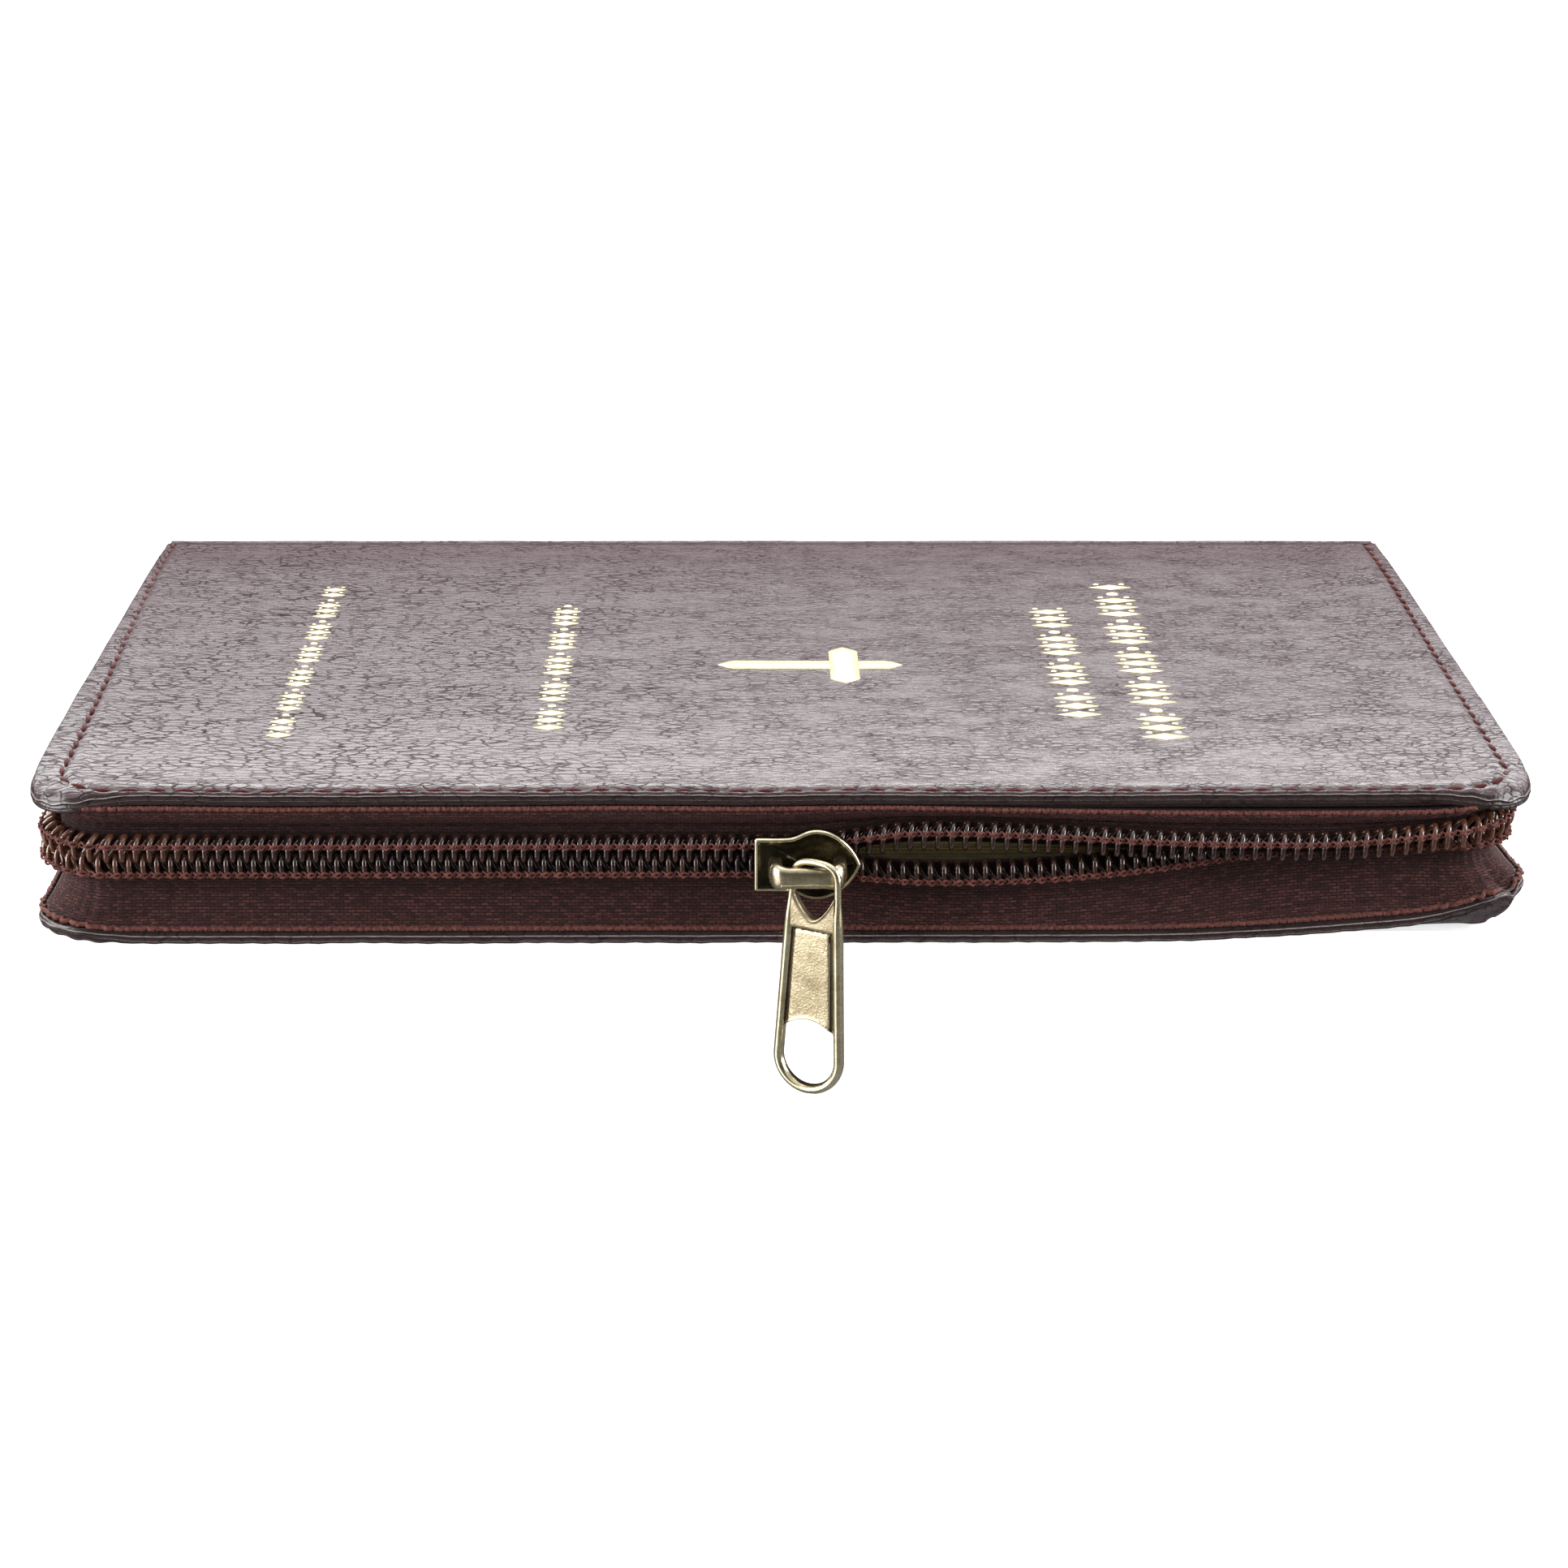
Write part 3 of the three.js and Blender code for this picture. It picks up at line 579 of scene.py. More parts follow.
def back_lift(x, y):
    """The back cover's right near corner curls up off the table, outside the page block."""
    along = float(smoothstep(30, HALF_LENGTH, x))
    near = float(1 - smoothstep(0, 55, y - FORE_Y))
    inside = min(HALF_LENGTH - abs(x), y - FORE_Y)
    flange = 0.12 + 0.88 * float(1 - smoothstep(0.5, 5.5, inside))
    tip = float(smoothstep(66, HALF_LENGTH + 1, x)) ** 1.3
    return (2.4 * along ** 1.6 + 1.5 * tip) * near * flange


SEAM_Y = FORE_Y + SEAM_INSET


def seam_x(y, side):
    """How far from the middle the side seam runs; it wanders in from the edge towards the fore-edge."""
    near = float(smoothstep(COVER_BACK_Y, FORE_Y + 8, y))
    inset = 1.0 + 2.2 * near if side < 0 else 1.6 + 0.9 * near
    return HALF_LENGTH - inset


def seam_distance(x, y):
    """Distance inwards from the stitch line; negative outside it."""
    side = -1 if x < 0 else 1
    line_x = seam_x(y, side)
    a = abs(x) - (line_x - SEAM_CORNER_RADIUS)
    b = (SEAM_Y + SEAM_CORNER_RADIUS) - y
    if a > 0 and b > 0:
        return SEAM_CORNER_RADIUS - math.hypot(a, b)
    return min(line_x - abs(x), y - SEAM_Y)


def edge_roll(x, y):
    """Radius of the rolled edge: crisp along the fore-edge, fat at the near corners."""
    return 0.3 + 0.8 * corner_share(x, y)


def rolled(inside, radius):
    """How far a rolled edge has dropped at a distance from the edge."""
    if inside >= radius:
        return 0.0
    return radius * (1 - math.sqrt(max(0.0, 1 - ((radius - inside) / radius) ** 2)))


def skin_height(x, y, inside):
    """Height of the leather's outer face below or above the cover's plane."""
    corner = corner_share(x, y)
    height = -rolled(inside, edge_roll(x, y))
    from_seam = seam_distance(x, y)
    height -= 0.3 * bell(from_seam, 0.36)
    height += 0.2 * bell(from_seam - 1.5, 1.3)
    pucker = bell(from_seam - 0.5, 1.5)
    height += 0.08 * pucker * math.sin(2 * math.pi * (x + y) / STITCH_PITCH)
    if corner > 0 and from_seam < 1:
        angle = math.atan2(y - FORE_Y - CORNER_RADIUS, abs(x) - HALF_LENGTH + CORNER_RADIUS)
        height += 0.12 * corner * math.sin(14 * angle + 0.6)
    height -= 0.45 * corner * float(smoothstep(0.5, -3.0, from_seam))
    return height


# The side of the rolled edge: how far down it and how far out each line of the turned leather lies.
SIDE_LINES = ((0.08, 0.08), (0.18, 0.02), (0.3, -0.08), (0.5, -0.04), (0.6, 0.1), (0.68, -0.06),
              (0.88, 0.0))
PAINTED_HIGHLIGHT_RINGS = (0, 5)          # rows of faces on that side painted pale as highlight lines


def cover_shell(name, plane, outward, lift, body, node):
    """A leather cover: outer skin, rolled edge and turned-in underside, as one closed mesh."""
    xs = spaced(-HALF_LENGTH, HALF_LENGTH, 10, 10)
    ys = spaced(FORE_Y, COVER_BACK_Y, 11, 0)
    outer = []
    inner = []
    margin = []
    for y in ys:
        for x in xs:
            px, py, inside = round_corner(x, y, CORNER_RADIUS)
            edge = 0.1 * wander(px, py, 1.3, 6) * (1 - min(1, inside / 3))
            base = plane + lift(px, py)
            thick = COVER_THICKNESS + CORNER_THICKENING[outward] * corner_share(px, py)
            outer.append((px, py, base + outward * (skin_height(px, py, inside) + edge)))
            inner.append((px, py, base - outward * (thick - rolled(inside, LOWER_ROLL))))
            margin.append(inside)
    rows, columns = len(ys), len(xs)
    count = rows * columns
    top = grid_faces(rows, columns)
    bottom = back_faces(rows, columns)
    border = grid_border(rows, columns)
    points = outer + inner
    rings = [border]
    for down, out in SIDE_LINES:
        ring = []
        for i in border:
            upper, lower = np.array(outer[i]), np.array(inner[i])
            free = 0.0 if upper[1] > COVER_BACK_Y - 0.01 else 1.0
            towards = np.array((math.copysign(1, upper[0]), -0.001, 0))
            if abs(upper[0]) < HALF_LENGTH - CORNER_RADIUS:
                towards = np.array((0.0, -1.0, 0.0))
            elif upper[1] < FORE_Y + CORNER_RADIUS:
                towards = np.array((upper[0] - math.copysign(HALF_LENGTH - CORNER_RADIUS, upper[0]),
                                    upper[1] - FORE_Y - CORNER_RADIUS, 0))
            towards = towards / max(1e-6, np.linalg.norm(towards))
            ring.append(len(points))
            points.append(tuple(upper + (lower - upper) * down + towards * out * free))
        rings.append(ring)
    rings.append([i + count for i in border])
    rim = []
    for upper, lower in zip(rings, rings[1:]):
        for k in range(len(border)):
            m = (k + 1) % len(border)
            rim.append((upper[k], lower[k], lower[m], upper[m]))
    faces = top + bottom + rim
    if outward < 0:
        faces = [tuple(reversed(face)) for face in faces]
    piece = new_mesh(name, points, faces, LEATHER, body, node)
    piece.data.materials.append(EDGE_LEATHER)
    piece.data.materials.append(EDGE_HIGHLIGHT_LEATHER)
    for index, polygon in enumerate(piece.data.polygons):
        # The pale rings are painted highlights: the top of the rolled edge and a thin line near its foot.
        ring = (index - len(top) - len(bottom)) // len(border)
        if ring in PAINTED_HIGHLIGHT_RINGS:
            polygon.material_index = 2
        elif index >= len(top) or min(margin[i] for i in polygon.vertices) < 0.1:
            polygon.material_index = 1
    return piece


PLATE_COLUMNS = 150
PLATE_ROWS = 90
PLATE_CORNER = 5             # radius of the near corners of board, lining and endpaper


def bent_plate(name, node, material, lift, body):
    """A thin flat CAD layer, remade so that it follows its cover's ripples."""
    low, high = node_box(node)
    r = PLATE_CORNER
    xs = np.linspace(low[0], high[0], PLATE_COLUMNS)
    ys = np.linspace(low[1], high[1], PLATE_ROWS)
    points = []
    for z in (high[2], low[2]):
        for y in ys:
            for x in xs:
                a = abs(x) - (high[0] - r)
                b = low[1] + r - y
                if a > 0 and b > 0:
                    x = math.copysign(high[0] - r + a * math.sqrt(1 - b * b / (2 * r * r)), x)
                    bent_y = low[1] + r - b * math.sqrt(1 - a * a / (2 * r * r))
                    points.append((x, bent_y, z + lift(x, y)))
                    continue
                points.append((x, y, z + lift(x, y)))
    new_mesh(name, points, sheet_faces(PLATE_ROWS, PLATE_COLUMNS), material, body, node)


def make_layers():
    for side, body, lift in (("front", "front_cover", front_lift), ("back", "root", back_lift)):
        bent_plate(f"{side}_board", f"{side}_cover_board", BOARD, lift, body)
        bent_plate(f"{side}_lining", f"{side}_cover_lining", LINING, lift, body)
        bent_plate(f"{side}_fly_leaf", f"{side}_endpaper", PAPER, lift, body)


# ---- stitching ------------------------------------------------------------------------------
def seam_path(step):
    """Points along the stitch line round the three free sides, step apart."""
    r = SEAM_CORNER_RADIUS
    far = COVER_BACK_Y - 1
    turn_y = SEAM_Y + r
    side_ys = np.linspace(far, turn_y, 12)
    line = [Vector((-seam_x(y, -1), y)) for y in side_ys]
    for side, start in ((-1, math.pi), (1, 1.5 * math.pi)):
        centre = Vector((side * (seam_x(turn_y, side) - r), turn_y))
        for i in range(13):
            angle = start + i / 12 * math.pi / 2
            line.append(centre + Vector((math.cos(angle), math.sin(angle))) * r)
    line += [Vector((seam_x(y, 1), y)) for y in side_ys[::-1]]
    return resample(line, step)


def resample(line, step):
    """Points a fixed step apart along a polyline, each with the direction there."""
    samples = []
    travelled = 0.0
    due = 0.0
    for a, b in zip(line, line[1:]):
        length = (b - a).length
        while length > 0 and due <= travelled + length:
            samples.append((a.lerp(b, (due - travelled) / length), (b - a).normalized()))
            due += step
        travelled += length
    return samples


def stitch(centre, along, up):
    """One sunken stitch: a short thread that dips into the leather at both ends."""
    path = []
    for t in np.linspace(-0.5, 0.5, 7):
        dip = -0.3 * abs(2 * t) ** 3
        path.append(np.array(centre) + np.array(along) * t * STITCH_LENGTH
                    + np.array(up) * (0.16 + dip))
    radius = STITCH_RADIUS * np.array([0.6, 0.95, 1.08, 1.1, 1.08, 0.95, 0.6])
    return path, radius


def cover_stitches(name, height, up, lift, body):
    """The seam's stitches round the three free sides of a cover."""
    parts = []
    for point, along in seam_path(STITCH_PITCH):
        skew = 0.16 + 0.12 * wander(point.x, point.y, 5.5, 3)
        direction = (along.x - along.y * skew, along.y + along.x * skew, 0)
        surface = height + lift(point.x, point.y) + up * (skin_height(point.x, point.y, 5.0))
        path, radius = stitch((point.x, point.y, surface), direction, (0, 0, up))
        parts.append(tube(path, radius, 8))
    points, faces = merge_parts(parts)
    new_mesh(name, points, faces, SEAM_THREAD, body)


# ---- spine ----------------------------------------------------------------------------------
JOINT_SPAN = 3.2             # spine leather beside each hinge that flexes


SPINE_THICKNESS = 0.7
SPINE_STEPS = 90
SPINE_CORNER = 1.9           # radius of the bend from cover to spine


def strap(name, outline):
    """A leather strap along X whose section is an open outline in Y and Z, given its thickness."""
    outline = np.asarray(outline, dtype=float)
    tangent = np.gradient(outline, axis=0)
    normal = unit(np.stack([-tangent[:, 1], tangent[:, 0]], axis=1))
    loop = np.concatenate([outline, (outline + normal * SPINE_THICKNESS)[::-1]])
    points = []
    for x in np.linspace(-SPINE_HIGH[0], SPINE_HIGH[0], SPINE_STEPS):
        for y, z in loop:
            wobble = 0.1 * wander(x, z, 2.2, 14) + 0.05 * wander(x, y + z, 8.2, 3)
            points.append((x, y + wobble, z))
    piece = new_mesh(name, points, ring_faces(SPINE_STEPS, len(loop)), LEATHER)
    fix_normals(piece)
    return piece


def fix_normals(piece):
    """Turns every face of a piece outwards."""
    mesh = bmesh.new()
    mesh.from_mesh(piece.data)
    bmesh.ops.recalc_face_normals(mesh, faces=mesh.faces)
    mesh.to_mesh(piece.data)
    mesh.free()


def make_spine():
    """The spine's panel and the two joint straps beside it."""
    outer = SPINE_HIGH[1]
    top = BOOK_TOP
    panel = [(outer + 0.12 * math.sin(math.pi * t), JOINT_SPAN + (top - 2 * JOINT_SPAN) * t)
             for t in np.linspace(0, 1, 15)]
    spine = strap("spine_panel", panel)
    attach(spine, "spine")
    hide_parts("spine_leather")
    start_y = COVER_BACK_Y - 0.2
    r = SPINE_CORNER
    bend = [(start_y, top - SPINE_DROP), (start_y + 0.5, top - SPINE_DROP - 0.02),
            (start_y + 1.0, top - SPINE_DROP - 0.08)]
    for angle in np.linspace(math.pi / 2, 0, 9):
        bend.append((outer - r + r * math.cos(angle), top - r + r * math.sin(angle) - SPINE_DROP))
    bend.append((outer, top - JOINT_SPAN + 0.4))
    bend.append((outer, top - JOINT_SPAN - 0.1))
    upper = strap("spine_joint_front", bend[::-1])
    lower = strap("spine_joint_back", [(y, top - z) for y, z in bend])
    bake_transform(upper)
    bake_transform(lower)


# ---- zip ------------------------------------------------------------------------------------
ZIP_RADIUS = 8.0 - TAPE_FACE_INSET
ZIP_X = HALF_LENGTH - SIDE_SHIFT - TAPE_FACE_INSET
ZIP_Y = FORE_Y + TAPE_FACE_INSET
SIDE_RUN = ZIP_END_Y - (ZIP_Y + ZIP_RADIUS)
ARC_RUN = ZIP_RADIUS * math.pi / 2
FORE_RUN = 2 * (ZIP_X - ZIP_RADIUS)
ZIP_RUN = 2 * SIDE_RUN + 2 * ARC_RUN + FORE_RUN


def zip_place(s):
    """Point and outward direction at a distance s along the zip, from the spine end at -X."""
    x, y, r = ZIP_X, ZIP_Y, ZIP_RADIUS
    if s < SIDE_RUN:
        return (-x, ZIP_END_Y - s), (-1, 0)
    if s < SIDE_RUN + ARC_RUN:
        angle = math.pi + (s - SIDE_RUN) / r
        outward = (math.cos(angle), math.sin(angle))
        return (-x + r + r * outward[0], y + r + r * outward[1]), outward
    if s < SIDE_RUN + ARC_RUN + FORE_RUN:
        return (-x + r + s - SIDE_RUN - ARC_RUN, y), (0, -1)
    if s < SIDE_RUN + 2 * ARC_RUN + FORE_RUN:
        angle = 1.5 * math.pi + (s - SIDE_RUN - ARC_RUN - FORE_RUN) / r
        outward = (math.cos(angle), math.sin(angle))
        return (x - r + r * outward[0], y + r + r * outward[1]), outward
    return (x, y + r + s - SIDE_RUN - 2 * ARC_RUN - FORE_RUN), (1, 0)


def zip_s(x):
    """Distance along the zip of a point on the fore-edge."""
    return SIDE_RUN + ARC_RUN + x + ZIP_X - ZIP_RADIUS


CLOSED_UP = CHAIN_Z + (ROW_HEIGHT - ROW_OVERLAP) / 2
CLOSED_DOWN = CHAIN_Z - (ROW_HEIGHT - ROW_OVERLAP) / 2
OPEN_FROM = zip_s(5.0)

# Middle height and outward shift of the open rows, at chosen distances past the slider.
UPPER_ROUTE = ((0, CLOSED_UP, 0), (5, 12.6, 0), (12, 12.9, 0.1), (24, 12.5, 0.3), (38, 11.8, 0.7),
               (54, 11.6, 0.8), (64, 12.2, 0.4), (72, 13.2, -0.4), (80, 13.6, -1.0), (100, 13.4, -1.0),
               (190, CLOSED_UP + 0.6, 0))
LOWER_ROUTE = ((0, CLOSED_DOWN, 0), (5, 8.4, 0), (12, 8.0, 0), (24, 8.3, -0.2), (36, 9.2, -1.1),
               (45, 10.3, -2.2), (56, 11.3, -2.5), (66, 11.7, -1.9), (78, 11.2, -1.0), (100, 10.2, -0.8),
               (190, CLOSED_DOWN - 0.6, 0))


def route(table, s, rest):
    """Height and shift of a row at s: the closed rest place, then the open route."""
    t = s - OPEN_FROM
    if t <= 0:
        return rest, 0.0
    past, height, out = np.array(table).T
    return float(np.interp(t, past, height)), float(np.interp(t, past, out))


def smooth_route(table, s, rest):
    """route(), averaged over a few millimetres so that its knots don't show."""
    samples = [route(table, s + d, rest) for d in (-4, -2, 0, 2, 4)]
    return tuple(np.mean(samples, axis=0))


def upper_row(s):
    """Middle height and outward shift of the front cover's row."""
    return smooth_route(UPPER_ROUTE, s, CLOSED_UP)


def lower_row(s):
    """Middle height and outward shift of the back cover's row."""
    return smooth_route(LOWER_ROUTE, s, CLOSED_DOWN)


def zip_point(s, n, z):
    """A point at a distance s along the zip, n outwards from it, at height z."""
    (x, y), (nx, ny) = zip_place(s)
    return (x + nx * n, y + ny * n, z)


ZIP_START = 1.5              # the first turn, from the zip's end
TURNS = int((ZIP_RUN - 2 * ZIP_START) / PITCH)
WIRE_STEPS = 20              # points along the wire in one turn
THREAD_STEPS = 8


def coil_row(name, row, head, offset, body, node):
    """One wound row. head is -1 where the loops' heads point down and 1 where they point up.
    Each turn's front leg runs straight to its head; the wire moves on to the next turn behind."""
    path = []
    ups = []
    for k in range(TURNS * WIRE_STEPS + 1):
        turn = k / WIRE_STEPS
        lead = turn % 1.0
        phase = 2 * math.pi * lead
        s = ZIP_START + (math.floor(turn) + float(smoothstep(0.55, 1.0, lead)) + offset) * PITCH
        middle, out = row(s)
        c, d = math.cos(phase), math.sin(phase)
        square = 0.55 if c < 0 else 0.55 + 0.9 * c
        n = ROW_DEPTH / 2 + 0.08 + (ROW_DEPTH / 2 - WIRE_RADIUS) * math.copysign(abs(d) ** square, d)
        z = middle - head * (ROW_HEIGHT / 2 - WIRE_RADIUS) * math.copysign(abs(c) ** 0.85, c)
        turned = max(0.0, c) ** 1.5
        s += 0.32 * turned
        n -= 0.45 * turned
        path.append(zip_point(s, n + out, z))
        _, (nx, ny) = zip_place(s)
        ups.append((-ny, nx, 0.0))
    points, faces = tube(path, WIRE_RADIUS, 9, ups)
    new_mesh(name, points, faces, COIL, body, node)


def coil_thread(name, row, head, offset, body):
    """The sewing that ties a row to its tape: two plies that cross over every leg of the coil,
    and a short tie between the legs."""
    parts = []

    def place(turn, rise):
        s = ZIP_START + (turn + offset) * PITCH
        middle, out = row(s)
        dip = 0.42 * (0.5 - 0.5 * math.cos(2 * math.pi * turn))
        return zip_point(s, ROW_DEPTH + 0.14 - dip + out, middle - head * 0.5 + rise)

    for ply in (0, 1):
        path = []
        thick = []
        for k in range(TURNS * THREAD_STEPS + 1):
            turn = k / THREAD_STEPS
            path.append(place(turn, 0.27 * math.sin(2 * math.pi * turn + math.pi * (ply + 0.25))))
            thick.append(0.13 + 0.035 * math.cos(2 * math.pi * turn))
        parts.append(tube(path, np.array(thick), 6))
    for k in range(TURNS):
        lean = 0.12 * wander(k, 0, 6.6, 1.7)
        tie = [place(k + 0.5 + lean + 0.1 * t, 0.42 * t) for t in (-1, -0.5, 0, 0.5, 1)]
        parts.append(tube(tie, np.array((0.06, 0.13, 0.15, 0.13, 0.06)), 6, (1, 0, 0)))
    points, faces = merge_parts(parts)
    new_mesh(name, points, faces, COIL_THREAD, body)


TAPE_THICKNESS = 0.4
TAPE_COLUMNS = 26            # points across the tape
TAPE_STEP = 0.45             # and along it
FLANGE_STEP = 1.5
SELVEDGE_STEP = 0.22
SELVEDGE_ZIGZAG = 0.11
TAPE_FLARE = {1: 0.8, -1: 1.7}   # how much further out the sewn edge lies on the short sides


def side_share(s):
    """0 along the fore-edge and 1 along the short sides."""
    return float(1 - smoothstep(SIDE_RUN, SIDE_RUN + 1.3 * ARC_RUN, min(s, ZIP_RUN - s)))


def tape_section(row_z, row_out, edge_z, up, flare):
    """The tape's outer face across its width: from behind the coil out to the sewn edge.
    up is 1 for the front cover's tape and -1 for the back cover's."""
    reach = abs(edge_z - row_z)
    if up > 0:
        shape = ((-1.2, -0.05), (0.3, -0.05), (1.4, -0.15), (2.0, -0.6), (reach * 0.5, -0.5),
                 (reach * 0.62, 0.35), (reach * 0.82, 0.95), (reach - 0.12, 0.7))
    else:
        shape = ((-1.2, -0.05), (0.0, -0.05), (1.3, -0.15), (2.1, -0.6), (reach * 0.45, -0.75),
                 (reach * 0.65, -0.55), (reach - 1.5, -0.1), (reach - 1.25, -0.18), (reach - 0.85, 0.3),
                 (reach - 0.12, 0.88))
    section = []
    for across, n in shape:
        share = float(np.clip(1 - across / reach, 0, 1))
        section.append((n + row_out * share + flare * (1 - share) ** 2, row_z + up * across))
    return section


def fine_curve(section, count):
    """A smooth curve through a short list of points (Catmull-Rom)."""
    p = np.array([section[0], *section, section[-1]], dtype=float)
    spans = len(p) - 3
    result = []
    for k in range(count):
        u = k / (count - 1) * spans
        i = min(int(u), spans - 1)
        t = u - i
        a, b, c, d = p[i:i + 4]
        result.append(0.5 * ((2 * b) + (c - a) * t + (2 * a - 5 * b + 4 * c - d) * t * t
                             + (3 * b - a - 3 * c + d) * t ** 3))
    return np.array(result)


GATHER_REACH = 9
GATHER_DEPTH = 0.22
GATHER_PITCH = 1.25


def gathers(s, share):
    """Small upright folds where the tape is eased round the near corners."""
    left = SIDE_RUN + ARC_RUN / 2
    right = ZIP_RUN - left
    near = max(bell(s - left, GATHER_REACH), bell(s - right, GATHER_REACH))
    phase = 2 * math.pi * s / GATHER_PITCH + 1.1 * math.sin(s * 0.9)
    return near * GATHER_DEPTH * math.sin(phase) * (0.3 + 0.7 * share)


SEWN_MARGIN = 0.6            # the cover reaches this far past the tape's sewn edge
FRONT_SLACK = 0.6            # the front tape hangs loose by this much beside the open zip
BACK_PAD = 0.6               # the back cover is this much fuller at its near corners


def edge_height(s, up):
    """Height of the cover's inner face under the tape's sewn edge."""
    x, y, _ = zip_point(s, TAPE_FLARE[up] * side_share(s) + SEWN_MARGIN, 0)
    if up > 0:
        slack = FRONT_SLACK * float(smoothstep(12, 50, x)) * float(1 - smoothstep(70, 79, x))
        return BOOK_TOP - COVER_THICKNESS + front_lift(x, y) - slack
    return COVER_THICKNESS + back_lift(x, y) + BACK_PAD * corner_share(x, y)


def tape_at(s, row, up):
    """The tape's section at a distance s along the zip."""
    row_z, row_out = row(s)
    return tape_section(row_z, row_out, edge_height(s, up), up, TAPE_FLARE[up] * side_share(s))


def tape_flange(name, row, up, body):
    """The tape's hidden margin, sewn flat between the cover and its lining."""
    stations = int(ZIP_RUN / FLANGE_STEP) + 1
    points = []
    for k in range(stations):
        s = k * FLANGE_STEP
        edge, z = tape_at(s, row, up)[-1]
        for inward in (0.25, 1.5, 3.4):
            points.append(zip_point(s, edge - inward, z + up * 0.1))
        for inward in (3.4, 1.5, 0.25):
            points.append(zip_point(s, edge - inward, z - up * 0.3))
    # The margin takes the dark lining finish rather than the tape's: painted shade that keeps the gap
    # between cover and tape black.
    piece = new_mesh(name, points, ring_faces(stations, 6), LINING, body,
                     smooth=False)
    fix_normals(piece)


def zip_tape(name, row, up, body, node):
    """The woven tape between a row of coil and its cover."""
    stations = int(ZIP_RUN / TAPE_STEP) + 1
    face = []
    back = []
    uv = []
    for k in range(stations):
        s = k * TAPE_STEP
        section = fine_curve(tape_at(s, row, up), TAPE_COLUMNS)
        tangent = np.gradient(section, axis=0)
        normal = unit(np.stack([tangent[:, 1], -tangent[:, 0]], axis=1) * up)
        width = np.concatenate([[0], np.cumsum(np.linalg.norm(np.diff(section, axis=0), axis=1))])
        for i in range(TAPE_COLUMNS):
            n, z = section[i]
            fold = gathers(s, i / TAPE_COLUMNS)
            face.append(zip_point(s, n + fold, z))
            back.append(zip_point(s, n + fold - normal[i, 0] * TAPE_THICKNESS,
                                  z - normal[i, 1] * TAPE_THICKNESS))
            uv.append((s, width[i]))
    piece = new_mesh(name, face + back, sheet_faces(stations, TAPE_COLUMNS), TAPE, body, node,
                     uv=uv + uv)
    fix_normals(piece)


def selvedge(name, row, up, body):
    """The beaded edge of the tape, a small zigzag cord on the cover's edge."""
    path = []
    for k in range(int(ZIP_RUN / SELVEDGE_STEP) + 1):
        s = k * SELVEDGE_STEP
        n, z = tape_at(s, row, up)[-1]
        zigzag = SELVEDGE_ZIGZAG * math.sin(2 * math.pi * s / 0.88)
        sink = 0.16 + 0.07 * abs(zigzag) / SELVEDGE_ZIGZAG
        path.append(zip_point(s, n + 0.16 + zigzag + gathers(s, 1.0), z - up * sink))
    points, faces = tube(path, 0.27, 7)
    new_mesh(name, points, faces, COIL_THREAD, body)


def make_zip():
    """Both rows of coil with their thread, then the two tapes with their margins and edges."""
    halves = (("upper", upper_row, 1, 0.0, "front_cover", "front"),
              ("lower", lower_row, -1, 0.5, "root", "back"))
    for half, row, up, offset, body, side in halves:
        coil_row(f"zip_coil_{half}", row, -up, offset, body, f"zipper_coil_{side}")
    for half, row, up, offset, body, _ in halves:
        coil_thread(f"coil_thread_{half}", row, -up, offset, body)
    for half, row, up, _, body, side in halves:
        zip_tape(f"zip_tape_{half}", row, up, body, f"zipper_tape_{side}")
    for half, row, up, _, body, _ in halves:
        tape_flange(f"tape_flange_{half}", row, up, body)
    for half, row, up, _, body, _ in halves:
        selvedge(f"tape_edge_{half}", row, up, body)


# ---- slider and pull tab --------------------------------------------------------------------
SLIDER_X = (SLIDER_LOW[0] + SLIDER_HIGH[0]) / 2
BLADE_Z = (SLIDER_LOW[2] + SLIDER_HIGH[2]) / 2
BAR_Y, BAR_Z = HINGES["pull_tab_swing"][1:]
BAR_DEPTH = 0.62
BRIDGE_HALF = 3.5
BLADE_FRONT_Y = BAR_Y + 2.6
INNER_BLADE_Y = SLIDER_HIGH[1]


def bezier(a, b, c, d, count):
    """Points from a towards d, leaving d itself out."""
    a, b, c, d = (np.array(q, dtype=float) for q in (a, b, c, d))
    return [a * (1 - t) ** 3 + 3 * b * t * (1 - t) ** 2 + 3 * c * t * t * (1 - t) + d * t ** 3
            for t in np.linspace(0, 1, count, endpoint=False)]


BLADE_HALF = 5.8             # half the slider's length


def blade_outline():
    """The slider's outline in X and Z about its middle: blunt heel, shoulders and a pointed nose."""
    half = (SLIDER_HIGH[2] - SLIDER_LOW[2]) / 2
    heel = half - 0.95
    top = (bezier((-BLADE_HALF, 0), (-BLADE_HALF, 1), (-BLADE_HALF, 2), (-BLADE_HALF, heel - 0.3), 6)
           + bezier((-BLADE_HALF, heel - 0.3), (-BLADE_HALF, heel - 0.1), (-5.7, heel), (-5.4, heel), 4)
           + bezier((-5.4, heel), (-4, heel), (-2.8, heel - 0.05), (-1.9, heel + 0.05), 8)
           + bezier((-1.9, heel + 0.05), (-0.9, heel + 0.2), (-0.4, half), (1.0, half), 10)
           + bezier((1.0, half), (3.2, half), (5.2, 1.9), (BLADE_HALF, 0), 16))
    bottom = [np.array((x, -z)) for x, z in top[::-1] if z > 0]
    return np.array(top + [np.array((BLADE_HALF, 0.0))] + bottom)


def inset_outline(outline, distance):
    """Moves each point of a clockwise outline inwards."""
    ahead = np.roll(outline, -1, axis=0) - np.roll(outline, 1, axis=0)
    return outline + unit(np.stack([ahead[:, 1], -ahead[:, 0]], axis=1)) * distance


